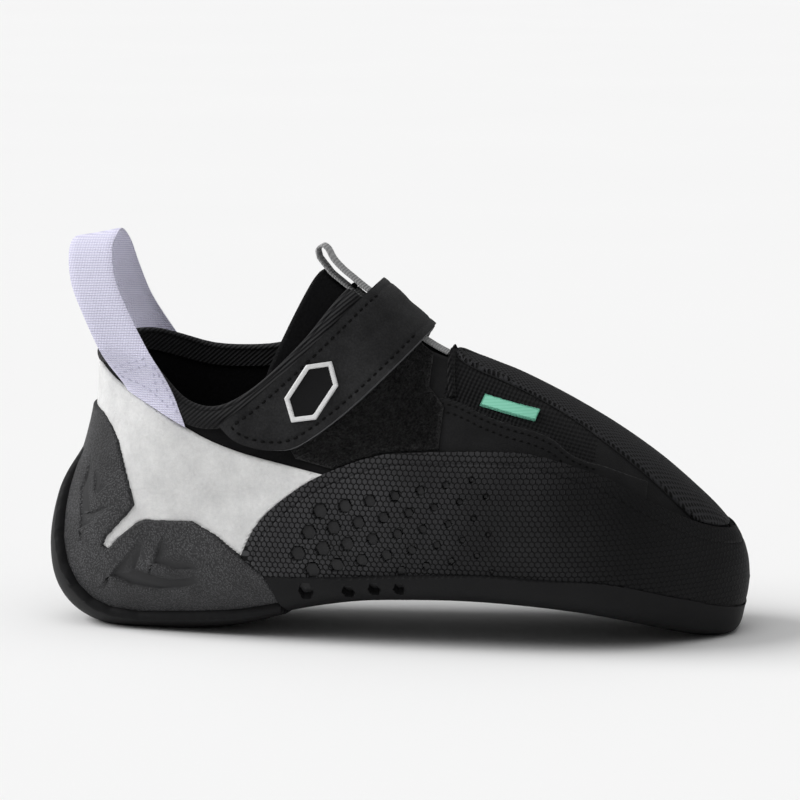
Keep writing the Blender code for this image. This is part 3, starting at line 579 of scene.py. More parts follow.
# %% Rand rubber, moulded with hexagonal scales
RUBBER_IOR = 1.52
SCALE_PITCH = 0.0020
rand_rubber, tree, in_space = start_material("moulded rand rubber", 0.6, RUBBER_IOR, 0.12)
around_shoe = node(tree, "ShaderNodeTexCoord").outputs["UV"]
cells = hexagon_cells(tree, around_shoe, SCALE_PITCH)
domes = node(tree, "ShaderNodeMapRange", {0: cells, 1: 0.01, 2: 0.16}, interpolation_type="SMOOTHSTEP")
split_up = node(tree, "ShaderNodeSeparateXYZ", {0: in_space})
fade = node(tree, "ShaderNodeMapRange", {0: split_up.outputs["X"], 1: 0.110, 2: 0.190, 3: 1.0, 4: 0.2})
grain = node(tree, "ShaderNodeTexNoise", {"Vector": in_space, "Scale": 2500.0, "Detail": 3.0})
faded = node(tree, "ShaderNodeMath", {0: domes, 1: fade}, operation="MULTIPLY")
height = node(tree, "ShaderNodeMath", {0: grain, 1: 0.15, 2: faded}, operation="MULTIPLY_ADD")
dusty = node(tree, "ShaderNodeTexNoise", {"Vector": in_space, "Scale": 45.0, "Detail": 5.0})
# Painted shade: the rand is painted lighter near the heel and darker towards the toe. The dust's clouds on it
# are its own.
painted_toe_shade = node(tree, "ShaderNodeMapRange", {0: split_up.outputs["X"], 1: 0.02, 2: 0.17, 3: 1.15, 4: 0.12})
dust_and_painted_shade = node(tree, "ShaderNodeMath", {0: dusty, 1: painted_toe_shade}, operation="MULTIPLY")
# Painted light and shade: each scale's face is painted lighter, and the groove round it dark.
tone = node(tree, "ShaderNodeMath", {0: dust_and_painted_shade, 1: domes}, operation="MULTIPLY")
dress(tree, tone, "#080809", "#525254", height, 0.0006)
print("scales:", round(1000 * SCALE_PITCH, 1), "mm apart")

# %% Smooth rubber, on the floors of the pockets and the cut edge of the toe patch
# It left a bare mould face, so it has no scales and a little more gloss.
smooth_rubber, tree, in_space = start_material("smooth moulded rubber", 0.5, RUBBER_IOR, 0.22)
grain = node(tree, "ShaderNodeTexNoise", {"Vector": in_space, "Scale": 1500.0, "Detail": 3.0})
dusty = node(tree, "ShaderNodeTexNoise", {"Vector": in_space, "Scale": 50.0, "Detail": 5.0})
dress(tree, dusty, "#161617", "#2c2c2d", grain, 0.00006)

# %% Heel rubber, pebbled, but smooth on its facets
# Each pebble is painted light on its top and dark round its foot, as painted light and shade. The facets have
# no pebbles, and they are painted darker, most of all next to their creases, as painted shade. The piece tells
# where they are, by the attribute named polish_and_shade.
PEBBLE = 0.0007
FACET_TONE = 0.12
cup_rubber, tree, in_space = start_material("pebbled heel rubber", 0.55, RUBBER_IOR)
pebbles = node(tree, "ShaderNodeTexVoronoi", {"Vector": in_space, "Scale": 1 / PEBBLE}, feature="F1")
mounds = node(tree, "ShaderNodeMapRange", {0: pebbles.outputs["Distance"], 1: 0.65, 2: 0.15})
polish_and_shade = node(tree, "ShaderNodeAttribute", attribute_name="polish_and_shade").outputs["Fac"]
rough = node(tree, "ShaderNodeMath", {0: 1.0, 1: polish_and_shade}, operation="SUBTRACT")
skin = node(tree, "ShaderNodeMath", {0: mounds, 1: rough}, operation="MULTIPLY")
dusty = node(tree, "ShaderNodeTexNoise", {"Vector": in_space, "Scale": 60.0, "Detail": 6.0})
lit = node(tree, "ShaderNodeMapRange", {0: mounds, 3: 0.25, 4: 1.0})
shaded = node(tree, "ShaderNodeMath", {0: lit, 1: dusty}, operation="MULTIPLY")
painted_facet_shade = node(tree, "ShaderNodeMath", {0: polish_and_shade, 1: FACET_TONE}, operation="MULTIPLY")
tone = node(tree, "ShaderNodeMath", {0: shaded, 1: rough, 2: painted_facet_shade}, operation="MULTIPLY_ADD")
dress(tree, tone, "#1a1a1b", "#6c6c6e", skin, 0.00035)

# %% Sole rubber, calendered sheet
sole_rubber, tree, in_space = start_material("calendered sole rubber", 0.58, RUBBER_IOR, 0.15)
grain = node(tree, "ShaderNodeTexNoise", {"Vector": in_space, "Scale": 1500.0, "Detail": 4.0})
dusty = node(tree, "ShaderNodeTexNoise", {"Vector": in_space, "Scale": 30.0, "Detail": 6.0})
dress(tree, dusty, "#08080a", "#1a1a1b", grain, 0.00008)

# %% Toe rubber, with a knurled skin of fine dots
# The dots are pits, drawn as seen from above. They are painted dark as painted shade, and the net between them
# is painted lighter as painted highlight.
DOT_PITCH = 0.0017
toe_rubber, tree, in_space = start_material("knurled toe rubber", 0.6, RUBBER_IOR, 0.15)
top_view = node(tree, "ShaderNodeSeparateXYZ", {0: in_space})
flat_map = node(tree, "ShaderNodeCombineXYZ", {0: top_view.outputs["X"], 1: top_view.outputs["Y"]})
cells = hexagon_cells(tree, flat_map, DOT_PITCH)
net = node(tree, "ShaderNodeMapRange", {0: cells, 1: 0.30, 2: 0.12}, interpolation_type="SMOOTHSTEP")
grain = node(tree, "ShaderNodeTexNoise", {"Vector": in_space, "Scale": 1800.0, "Detail": 3.0})
height = node(tree, "ShaderNodeMath", {0: grain, 1: 0.2, 2: net}, operation="MULTIPLY_ADD")
dress(tree, net, "#020202", "#2e2e30", height, 0.0009)

# %% [markdown]
# ## Leather and cloth
#
# The heel's tension rand is white rubberised suede: pale, with a short nap that breaks up the light. The
# strap and the lower upper are microfibre, a dense non-woven cloth with a fine matt skin. The panel over
# the instep is a ribbed knit that stretches. A little sheen gives cloth its soft light edges.

# %% White rubberised suede
# The nap gives it a fine grain, and the rubber in it makes it faintly cloudy.
CLOTH_IOR = 1.5
suede, tree, in_space = start_material("white rubberised suede", 0.8, CLOTH_IOR, sheen=0.06)
nap = node(tree, "ShaderNodeTexNoise", {"Vector": in_space, "Scale": 700.0, "Detail": 6.0, "Roughness": 0.8})
cloudy = node(tree, "ShaderNodeTexNoise", {"Vector": in_space, "Scale": 110.0, "Detail": 8.0})
tone = node(tree, "ShaderNodeMath", {0: nap, 1: 0.9, 2: cloudy}, operation="MULTIPLY_ADD")
soft = node(tree, "ShaderNodeMapRange", {0: tone, 1: 0.55, 2: 1.25})
dress(tree, soft, "#d0d0d0", "#f3f3f2", nap, 0.0006)

# %% Black microfibre
microfibre, tree, in_space = start_material("black microfibre", 0.76, CLOTH_IOR, 0.1, sheen=0.05)
nap = node(tree, "ShaderNodeTexNoise", {"Vector": in_space, "Scale": 1600.0, "Detail": 5.0, "Roughness": 0.7})
cloudy = node(tree, "ShaderNodeTexNoise", {"Vector": in_space, "Scale": 90.0, "Detail": 6.0})
tone = node(tree, "ShaderNodeMath", {0: nap, 1: cloudy}, operation="MULTIPLY")
soft = node(tree, "ShaderNodeMapRange", {0: tone, 1: 0.1, 2: 0.4})
dress(tree, soft, "#09090a", "#19191a", nap, 0.00014)

# %% Brushed microfibre, as on the strap
# It is the same cloth, with its skin rubbed a little greyer by use.
strap_face, tree, in_space = start_material("brushed microfibre", 0.78, CLOTH_IOR, 0.15, sheen=0.05)
nap = node(tree, "ShaderNodeTexNoise",
           {"Vector": in_space, "Scale": 1400.0, "Detail": 6.0, "Roughness": 0.75})
rubbed = node(tree, "ShaderNodeTexNoise",
              {"Vector": in_space, "Scale": 70.0, "Detail": 8.0, "Roughness": 0.6})
tone = node(tree, "ShaderNodeMath", {0: nap, 1: rubbed}, operation="MULTIPLY")
soft = node(tree, "ShaderNodeMapRange", {0: tone, 1: 0.12, 2: 0.38})
dress(tree, soft, "#141415", "#303031", nap, 0.00018)

# %% Ribbed stretch knit
# Its ribs stand up in the light, and loops of yarn cross them.
RIB_PITCH = 0.0014
RIB_SLANT = math.radians(-18)
LOOP_PITCH = 0.0010
knit, tree, in_space = start_material("ribbed stretch knit", 0.85, CLOTH_IOR, 0.05, sheen=0.08)
slanted_map = node(tree, "ShaderNodeMapping", {"Vector": in_space, "Rotation": (0, RIB_SLANT, 0)})
ribs = node(tree, "ShaderNodeTexWave", {"Vector": slanted_map, "Scale": wave_scale(RIB_PITCH),
                                        "Distortion": 0.6, "Detail": 1.0}, bands_direction="X")
loops = node(tree, "ShaderNodeTexWave", {"Vector": slanted_map, "Scale": wave_scale(LOOP_PITCH),
                                         "Distortion": 0.5}, bands_direction="Z")
height = node(tree, "ShaderNodeMath", {0: loops.outputs["Fac"], 1: 0.3, 2: ribs.outputs["Fac"]},
              operation="MULTIPLY_ADD")
dress(tree, ribs.outputs["Fac"], "#040405", "#101011", height, 0.0004)

# %% Dark lining
# Brushed cloth swallows the light inside the shoe.
lining, tree, in_space = start_material("brushed black lining", 0.95, CLOTH_IOR, 0.1)
nap = node(tree, "ShaderNodeTexNoise", {"Vector": in_space, "Scale": 900.0, "Detail": 4.0})
dress(tree, nap, "#080809", "#161617", nap, 0.0003)

# %% Loop pile, the soft half of a hook-and-loop fastener
# Its fine loops stand in tufts, 2 mm across. The tufts' tips are painted pale as painted light, and the gaps
# between them dark as painted shade.
loop_pile, tree, in_space = start_material("napped loop pile", 0.95, CLOTH_IOR, 0.1, sheen=0.14)
tufts = node(tree, "ShaderNodeTexNoise",
             {"Vector": in_space, "Scale": 520.0, "Detail": 8.0, "Roughness": 0.75})
curls = node(tree, "ShaderNodeTexVoronoi", {"Vector": in_space, "Scale": 900.0})
height = node(tree, "ShaderNodeMath", {0: curls.outputs["Distance"], 1: 0.5, 2: tufts},
              operation="MULTIPLY_ADD")
painted_tuft_light = node(tree, "ShaderNodeMapRange", {0: tufts, 1: 0.45, 2: 0.72})
dress(tree, painted_tuft_light, "#070708", "#262627", height, 0.0016)

# %% [markdown]
# ## Tapes and threads
#
# Webbing is woven tight, with ribs straight across it. The collar's binding is a ribbed knitted tape. Both
# show their ribs in the light more than in the colour, so the ribs go into the bump.

# %% Lilac webbing
WEFT_PITCH = 0.0008
LILAC_WARP_PITCH = 0.0009
lilac_webbing, tree, in_space = start_material("lilac polyester webbing", 0.7, CLOTH_IOR, sheen=0.08)
wefts = node(tree, "ShaderNodeTexWave", {"Vector": in_space, "Scale": wave_scale(WEFT_PITCH),
                                         "Distortion": 0.3}, bands_direction="Z")
warps = node(tree, "ShaderNodeTexWave", {"Vector": in_space, "Scale": wave_scale(LILAC_WARP_PITCH),
                                         "Distortion": 0.3}, bands_direction="X")
height = node(tree, "ShaderNodeMath", {0: warps.outputs["Fac"], 1: 0.35, 2: wefts.outputs["Fac"]},
              operation="MULTIPLY_ADD")
dress(tree, wefts.outputs["Fac"], "#d4d2ea", "#eceafc", height, 0.0002)

# %% Grey webbing
GREY_WARP_PITCH = 0.0008
grey_webbing, tree, in_space = start_material("grey polyester webbing", 0.75, CLOTH_IOR)
wefts = node(tree, "ShaderNodeTexWave", {"Vector": in_space, "Scale": wave_scale(WEFT_PITCH),
                                         "Distortion": 0.4}, bands_direction="X")
warps = node(tree, "ShaderNodeTexWave", {"Vector": in_space, "Scale": wave_scale(GREY_WARP_PITCH)},
             bands_direction="Y")
height = node(tree, "ShaderNodeMath", {0: warps.outputs["Fac"], 1: 0.5, 2: wefts.outputs["Fac"]},
              operation="MULTIPLY_ADD")
dress(tree, wefts.outputs["Fac"], "#9a9a9b", "#b8b8b8", height, 0.00015)

# %% Binding tape
TAPE_RIB_PITCH = 0.0012
TAPE_SLANT = math.radians(-50)
binding_tape, tree, in_space = start_material("ribbed binding tape", 0.85, CLOTH_IOR, 0.15, sheen=0.08)
slanted_map = node(tree, "ShaderNodeMapping", {"Vector": in_space, "Rotation": (0, TAPE_SLANT, 0)})
ribs = node(tree, "ShaderNodeTexWave", {"Vector": slanted_map, "Scale": wave_scale(TAPE_RIB_PITCH),
                                        "Distortion": 0.5, "Detail": 1.0}, bands_direction="X")
dress(tree, ribs.outputs["Fac"], "#131314", "#262627", ribs.outputs["Fac"], 0.0003)

# %% The cut edge of cloth, pale where the black skin ends
raw_edge, tree, in_space = start_material("cut cloth edge", 0.9, CLOTH_IOR)
fray = node(tree, "ShaderNodeTexNoise", {"Vector": in_space, "Scale": 1500.0})
dress(tree, fray, "#4a4a4c", "#808082", fray, 0.0001)

# %% The woven label and its overlocked edge
LABEL_WEAVE_PITCH = 0.0009
OVERLOCK_PITCH = 0.0005
woven_label, tree, in_space = start_material("woven mint label", 0.7, CLOTH_IOR)
weave = node(tree, "ShaderNodeTexWave", {"Vector": in_space, "Scale": wave_scale(LABEL_WEAVE_PITCH)},
             bands_direction="Z")
dress(tree, weave.outputs["Fac"], "#80caae", "#8cd3ba", weave.outputs["Fac"], 0.00004)

woven_edge, tree, in_space = start_material("overlocked label edge", 0.75, CLOTH_IOR)
weave = node(tree, "ShaderNodeTexWave", {"Vector": in_space, "Scale": wave_scale(OVERLOCK_PITCH)},
             bands_direction="X")
dress(tree, weave.outputs["Fac"], "#5a9f87", "#78bda4", weave.outputs["Fac"], 0.0001)

# %% Nylon thread, black in the shoe and pale in the heel loop
NYLON_IOR = 1.53
black_thread, tree, in_space = start_material("black nylon thread", 0.7, NYLON_IOR, 0.1)
twist = node(tree, "ShaderNodeTexNoise", {"Vector": in_space, "Scale": 2000.0})
dress(tree, twist, "#020202", "#0b0b0b", twist, 0.00005)

pale_thread, tree, in_space = start_material("pale nylon thread", 0.6, NYLON_IOR)
twist = node(tree, "ShaderNodeTexNoise", {"Vector": in_space, "Scale": 2000.0})
dress(tree, twist, "#b6b4c8", "#d8d6ec", twist, 0.00005)

# %% The badge's plastic, smooth from its mould
badge_plastic, tree, in_space = start_material("pale moulded TPU", 0.4, ior=1.5)
cloudy = node(tree, "ShaderNodeTexNoise", {"Vector": in_space, "Scale": 800.0})
dress(tree, cloudy, "#d6d6d6", "#f0f0f0", cloudy, 0.00004)
print("materials:", len(bpy.data.materials))


# %% [markdown]
# ## The upper and what lies inside
#
# The upper is one hollow wall, 1.8 mm thick. It is open at the collar, and along a slit over the instep
# where the tongue shows. Its instep is ribbed knit, the rest microfibre, and its inside is brushed lining.
# In front of the throat the knit is rolled over in a soft edge, made as a tube that follows the surface.
#
# Lines that a side view names are laid on the shoe by looking for the place that shows there. Stitches are
# made one by one, because a row of short threads, each dipping in at its ends, catches the light as sewing.

# %% Thickness of the plies, and the lines of the upper
GAP = 0.0003
WALL = 0.0018
OVERLAY = WALL + GAP
COUNTER_PLY = 0.0013
RAND_PLY = 0.0020
SOLE_EDGE_PLY = 0.0024
SOLE_PLY = 0.0045
HEEL_CUP_PLY = 0.0024
HEEL_STRIP_PLY = 0.0018
TOE_PATCH_PLY = 0.0012
BINDING_PLY = 0.0009
LOOP_PATCH_PLY = 0.0013
STRAP_PLY = 0.0020
STRAP_CREST = 0.0045
BINDING_WIDTH = 0.0064
THROAT_WIDTH = 0.0150
THROAT_SHIFT = 0.24
THROAT_FRONT = 0.590
THROAT_BACK = 0.40

COLLAR_LATERAL = (
    (0.050, 0.735), (0.085, 0.745), (0.125, 0.745), (0.160, 0.715), (0.182, 0.672), (0.210, 0.618),
    (0.234, 0.594), (0.258, 0.588), (0.284, 0.602), (0.318, 0.644), (0.352, 0.704), (0.388, 0.780),
    (0.420, 0.866), (0.446, 0.930), (0.470, 1.000),
)
COLLAR_MEDIAL = (
    (0.050, 0.735), (0.085, 0.748), (0.125, 0.752), (0.165, 0.730), (0.210, 0.704), (0.262, 0.700),
    (0.310, 0.710), (0.350, 0.740), (0.388, 0.796), (0.420, 0.872), (0.446, 0.932), (0.470, 1.000),
)
TONGUE_EDGE = ((0.310, 0.560), (0.333, 0.700), (0.352, 0.786), (0.394, 0.974), (0.420, 1.100))
SEAM = (
    (0.440, 0.652), (0.482, 0.646), (0.563, 0.628), (0.596, 0.618), (0.633, 0.589), (0.666, 0.567),
    (0.708, 0.544), (0.735, 0.520), (0.756, 0.488), (0.782, 0.464), (0.804, 0.450), (0.860, 0.400),
)


def lowered(line, drop):
    """A side view's line of points, moved to its right by drop: down, where it runs forwards."""
    way = np.gradient(line, axis=0)
    left = np.stack([-way[:, 1], way[:, 0]], axis=1)
    return line - drop * left / np.linalg.norm(left, axis=1, keepdims=True)


def above_collar(drop=0.0):
    """A region: all that lies above the collar's line, moved down by drop."""
    over, behind = 1.6 * LAST_HEIGHT, -0.2 * LENGTH
    halves = []
    for line in (COLLAR_LATERAL, COLLAR_MEDIAL):
        edge = lowered(side_outline(line), drop)
        corners = [(edge[-1][0], over), (behind, over), (behind, edge[0][1])]
        halves.append(seen_within(np.vstack([edge, corners])))
    return two_sided(*halves)


def throat():
    """A region: the slit along the instep's ridge."""
    half, ridge = THROAT_WIDTH / 2, THROAT_SHIFT * TOE_INSET
    front, back = THROAT_FRONT * LENGTH, THROAT_BACK * LENGTH
    turn = np.linspace(-math.pi / 2, math.pi / 2, 17)
    nose = [(front - half + half * math.cos(a), ridge + half * math.sin(a)) for a in turn]
    slit = plan(nose + [(back, ridge + half), (back, ridge - half)])
    return both(slit, lambda points: points[:, 2] - 0.5 * LAST_HEIGHT)


# %% Places on the shoe that a side view's line names
# A place counts as on the shoe if the net has a point this near, and a lifted point shows within MISSED of it.
NEAR_NET = 0.0012
MISSED = 0.001
LONGEST_MOVE = 0.003


def side_tree(points):
    """A search tree of points by their place in the side view."""
    tree = KDTree(len(points))
    for k, (x, _, z) in enumerate(points):
        tree.insert((x, z, 0), k)
    tree.balance()
    return tree


net_sides = []
for columns in (slice(1, NET_HALF), slice(NET_HALF + 1, NET_AROUND)):
    places = NET[:, columns].reshape(-1, 3)
    net_sides.append((side_tree(places), places, NET_OUT[:, columns].reshape(-1, 3)))


def on_side(flat, height, crest=0.0, medial=False):
    """Points at height above the last, seen at flat places of the side view, and the normals there."""
    tree, places, outs = net_sides[int(medial)]
    wanted = np.array(flat, float)
    asked = wanted.copy()
    for _ in range(4):
        bases, normals, near = [], [], []
        for x, z in asked:
            found = tree.find_n((x, z, 0), 4)
            weights = np.array([1 / (distance + 2e-5) for _, _, distance in found])
            weights /= weights.sum()
            chosen = [k for _, k, _ in found]
            bases.append((x, weights @ places[chosen][:, 1], z))
            normals.append(weights @ outs[chosen])
            near.append(found[0][2] < NEAR_NET)
        normals = np.array(normals) / np.linalg.norm(normals, axis=1, keepdims=True)
        points = lifted(np.array(bases), normals, np.full(len(bases), height), crest)
        missed = wanted - points[:, [0, 2]]
        asked += np.clip(missed, -LONGEST_MOVE, LONGEST_MOVE)
    good = np.array(near) & (np.abs(missed).max(axis=1) < MISSED)
    return points[good], normals[good]


def evenly(line, pitch):
    """A line's points, pitch apart. Any columns after the third are carried along."""
    line = np.asarray(line, float)
    travel = np.concatenate([[0], np.cumsum(np.linalg.norm(np.diff(line[:, :3], axis=0), axis=1))])
    wanted = np.linspace(0, travel[-1], max(2, int(round(travel[-1] / pitch)) + 1))
    return np.stack([np.interp(wanted, travel, line[:, k]) for k in range(line.shape[1])], axis=1)


def inset_line(outline, distance):
    """A closed outline's corners moved inwards by distance, as a line that ends where it starts."""
    outline = np.asarray(outline, float)
    x, z = outline.T
    turn = np.sum(x * np.roll(z, -1) - np.roll(x, -1) * z)
    moved = []
    for before, here, after in zip(np.roll(outline, 1, 0), outline, np.roll(outline, -1, 0)):
        first, second = here - before, after - here
        inward = [np.array((-v[1], v[0])) / np.linalg.norm(v) * np.sign(turn) for v in (first, second)]
        middle = inward[0] + inward[1]
        moved.append(here + middle * (distance / max(0.3, middle @ inward[0])))
    return np.array(moved)


# %% Tubes and stitches
def tube(path, across, radii, sides=8):
    """Vertices and faces of an oval tube along path. across is the direction of its first radius."""
    along = np.gradient(path, axis=0)
    along /= np.maximum(np.linalg.norm(along, axis=1, keepdims=True), 1e-12)
    other = np.cross(along, across)
    other /= np.maximum(np.linalg.norm(other, axis=1, keepdims=True), 1e-12)
    angles = np.linspace(0, 2 * math.pi, sides, endpoint=False)
    radii = np.broadcast_to(np.asarray(radii, float), (len(path), 2))
    rings = (path[:, None] + across[:, None] * (radii[:, :1] * np.cos(angles))[..., None]
             + other[:, None] * (radii[:, 1:] * np.sin(angles))[..., None])
    faces = []
    for i in range(0, (len(path) - 1) * sides, sides):
        for j in range(sides):
            k = (j + 1) % sides
            faces.append((i + j, i + k, i + sides + k, i + sides + j))
    faces.append(tuple(range(sides)))
    faces.append(tuple((len(path) - 1) * sides + j for j in reversed(range(sides))))
    return rings.reshape(-1, 3), [face[::-1] for face in faces]


LINE_PITCH = 0.0006
STITCH_DIP = 2.2
HEAVY_STITCH = {"length": 0.0022, "gap": 0.0007, "thread": 0.00038}


def stitches(name, rows, look, length=0.0019, gap=0.0006, thread=0.00034):
    """Stitches along rows of points with normals: each a short thread that dips into the cloth at its ends.

    thread is its radius, and it dips in by STITCH_DIP of those."""
    share = np.linspace(-1, 1, 5)
    vertices, faces = [], []
    for points, normals in rows:
        line = evenly(np.hstack([points, normals]), (length + gap) / 4)
        for start in range(0, len(line) - 3, 4):
            piece = line[start:start + 4]
            middle, way = piece[:3, :3].mean(axis=0), piece[3, :3] - piece[0, :3]
            way = way / max(np.linalg.norm(way), 1e-12)
            normal = piece[1, 3:] / np.linalg.norm(piece[1, 3:])
            dip = np.outer(share**4, normal) * STITCH_DIP * thread
            path = middle + np.outer(share, way) * length / 2 - dip
            made, joined = tube(path, np.tile(normal, (5, 1)), (thread, thread), sides=5)
            faces += [tuple(k + len(vertices) for k in face) for face in joined]
            vertices += made.tolist()
    make_piece(name, vertices, faces, [look])


# %% The upper
KNIT_FROM = 0.578
KNIT_TO = 0.79
whole_along = steps(0, NET_ALONG - 1, 2.4)
whole_around = steps(0, NET_AROUND, 2.4)
upper_region = both(without(above_collar()), without(throat()))
vertices, faces, (fronts, walls) = lay(upper_region, 0.0, WALL, whole_along, whole_around, back=True)
middles = vertices[np.array([face[:3] for face in faces[:fronts]])].mean(axis=1)
over_seam = -under(SEAM)(middles)
knitted = (over_seam > 0) & (middles[:, 0] > KNIT_FROM * LENGTH) & (middles[:, 0] < KNIT_TO * LENGTH)
look_of_face = np.concatenate([knitted.astype(int), np.zeros(walls, int), np.full(fronts, 2)])
make_piece("upper_cloth", vertices, faces, [microfibre, knit, lining], "upper", look_of_face)

# %% The rolled edge in front of the throat
ROLLED_EDGE = ((0.576, 0.790), (0.578, 0.730), (0.583, 0.680), (0.590, 0.628))
rolled = evenly(side_outline(ROLLED_EDGE, 6), 0.0008)
for name, medial in (("throat_bead_outer", False), ("throat_bead_inner", True)):
    points, normals = on_side(rolled, WALL + 0.0002, medial=medial)
    vertices, faces = tube(points, normals, (0.0010, 0.0013), sides=10)
    make_piece(name, vertices, faces, [knit])

# %% [markdown]
# ## The rubber round the foot
#
# The rand is a band of rubber stretched round the whole foot. It ends behind at the heel cup and above in a
# clean edge with a groove beside it. On the outer side it has hexagonal pockets that save weight and help
# it bend. They lie on a slanting net and shrink towards the toe. The sole is glued on below, and turned up
# round the side as a smooth band.
#
# The heel cup is moulded with facets, made here as shallow steps beside a few lines. A tread strip runs
# under the heel and up its back, and is skived thin at the top, where it sinks into the cup.

# %% The lines of the rubber
RAND_TOP = (
    (0.296, 0.170), (0.306, 0.220), (0.326, 0.290), (0.366, 0.362), (0.417, 0.424), (0.497, 0.480),
    (0.580, 0.494), (0.663, 0.497), (0.720, 0.484), (0.806, 0.424), (0.863, 0.356), (0.929, 0.280),
    (0.982, 0.238), (1.040, 0.205),
)
BAND_TOP = (
    (0.330, 0.136), (0.346, 0.144), (0.433, 0.150), (0.530, 0.164), (0.641, 0.172), (0.717, 0.164),
    (0.808, 0.152), (0.878, 0.112), (0.930, 0.076), (0.957, 0.054), (1.040, 0.010),
)
HEEL_CUP_EDGE = (
    (-0.060, 0.574), (0.067, 0.578), (0.093, 0.560), (0.109, 0.530), (0.121, 0.492), (0.130, 0.434),
    (0.139, 0.372), (0.147, 0.322), (0.137, 0.296), (0.118, 0.258), (0.103, 0.226), (0.097, 0.202),
    (0.104, 0.192), (0.122, 0.230), (0.148, 0.272), (0.162, 0.283), (0.230, 0.284), (0.263, 0.250),
    (0.302, 0.192), (0.335, 0.142), (0.347, 0.106), (0.358, 0.048), (0.362, -0.060), (-0.060, -0.060),
)
HEEL_STRIP_EDGE = (
    (-0.060, 0.520), (0.078, 0.510), (0.056, 0.460), (0.040, 0.405), (0.030, 0.345), (0.026, 0.288),
    (0.024, 0.205), (0.032, 0.135), (0.048, 0.076), (0.070, 0.034), (0.098, 0.010), (0.140, 0.002),
    (0.228, 0.014), (0.290, 0.026), (0.352, 0.050), (0.358, -0.060), (-0.060, -0.060),
)
TOE_PATCH_PLAN = (
    (0.580, 0.030), (0.590, -0.055), (0.632, -0.108), (0.715, -0.130), (0.762, -0.142), (0.800, -0.160),
    (0.850, -0.162), (0.900, -0.135), (0.950, -0.070), (1.020, 0.000), (1.020, 0.260), (0.960, 0.330),
    (0.880, 0.345), (0.800, 0.315), (0.720, 0.260), (0.645, 0.190), (0.596, 0.110), (0.580, 0.030),
)
heel_cup = closed(HEEL_CUP_EDGE)
lateral_around = steps(0, NET_HALF, 0.55)
medial_around = steps(NET_HALF, NET_AROUND, 1.3)


def hexagon_reach(flat, centre, radius):
    """How far inside a hexagon with a corner towards +X flat points lie, in metres."""
    gap = np.abs(flat - centre)
    return radius * math.sqrt(3) / 2 - np.maximum(gap[:, 1], (math.sqrt(3) * gap[:, 0] + gap[:, 1]) / 2)


# %% The rand's pockets
# First come the slanting net's two steps and its first place in the side view. Then come the pockets' largest
# and smallest radius, what the radius loses per metre towards the toe, how far back pockets may lie, and how
# far they stay from the rand's upper edge and, counted in radii, from the band.
HEX_ACROSS = np.array((0.00868, 0.00206))
HEX_DOWN = np.array((0.00490, -0.00525))
HEX_START = np.array((0.1018, 0.0466))
HEX_LARGEST = 0.0026
HEX_SMALLEST = 0.0006
HEX_SHRINK = 0.0325
HEX_BACK_END = 0.0935
HEX_BELOW_TOP = 0.0075
HEX_OVER_BAND = 0.6
FAR_OUTSIDE = -0.02
rand_top_line = side_outline(RAND_TOP)
band_top_line = side_outline(BAND_TOP)
pockets = []
for down in range(6):
    for across in range(-4, 9):
        centre = HEX_START + across * HEX_ACROSS + down * HEX_DOWN
        radius = HEX_LARGEST - HEX_SHRINK * (centre[0] - HEX_START[0])
        top = np.interp(centre[0], rand_top_line[:, 0], rand_top_line[:, 1]) - HEX_BELOW_TOP
        bottom = np.interp(centre[0], band_top_line[:, 0], band_top_line[:, 1]) + HEX_OVER_BAND * radius
        if HEX_SMALLEST < radius and bottom < centre[1] < top and centre[0] > HEX_BACK_END:
            pockets.append((centre, min(radius, HEX_LARGEST)))
print("pockets:", len(pockets), "from", round(2000 * pockets[0][1], 1), "mm wide down to",
      round(2000 * min(r for _, r in pockets), 1), "mm")


def in_pockets(points):
    """A region: all the pockets of the outer side."""
    deepest = np.full(len(points), FAR_OUTSIDE)
    for centre, radius in pockets:
        near = (np.abs(points[:, [0, 2]] - centre).max(axis=1) < 3 * radius) & (points[:, 1] < 0)
        reach = hexagon_reach(points[near][:, [0, 2]], centre, radius)
        deepest[near] = np.maximum(deepest[near], reach)
    return deepest


# %% The rand
# Plies run under their neighbours by an overlap, which is a gap below zero. Pocket floors run a little under
# the walls round them in the same way.
OVERLAP = -0.0006
FLOOR_MARGIN = 0.0003
POCKET_DEPTH = 0.0006
GROOVE_DEPTH = 0.00035
GROOVE_INSET = 0.0042
GROOVE_WIDTH = 0.0003


def groove(points, distance):
    """A fine groove that follows the rand's upper edge."""
    return -GROOVE_DEPTH * bell(under(RAND_TOP)(points), GROOVE_INSET, GROOVE_WIDTH)


rand_region = both(under(RAND_TOP), without(heel_cup, OVERLAP), without(under(BAND_TOP), OVERLAP))
rand_along = steps(row_step(10), NET_ALONG - 1, 0.5)
rand_top = OVERLAY + RAND_PLY
lateral = lay(both(rand_region, without(in_pockets)), OVERLAY, rand_top, rand_along, lateral_around,
              edge=0.0004, relief=groove)
medial = lay(rand_region, OVERLAY, rand_top, steps(row_step(10), NET_ALONG - 1, 1.2), medial_around,
             edge=0.0004, relief=groove)
make_piece("rand_outer_side", *lateral[:2], [rand_rubber], "side_rand")
make_piece("rand_inner_side", *medial[:2], [rand_rubber], "side_rand")
floors = lay(both(rand_region, lambda points: in_pockets(points) + FLOOR_MARGIN), OVERLAY,
             rand_top - POCKET_DEPTH, rand_along, lateral_around, edge=0.0001)
make_piece("pocket_floors", *floors[:2], [smooth_rubber])

# %% The sole
TURNS_DOWN_FROM = 0.25
TURNS_DOWN_OVER = 0.6


def sole_height(normals):
    """The sole is thicker where it faces the ground than where it turns up round the side."""
    down = np.clip((-normals[:, 2] - TURNS_DOWN_FROM) / TURNS_DOWN_OVER, 0, 1)
    return OVERLAY + SOLE_EDGE_PLY + (SOLE_PLY - SOLE_EDGE_PLY) * eased(down)


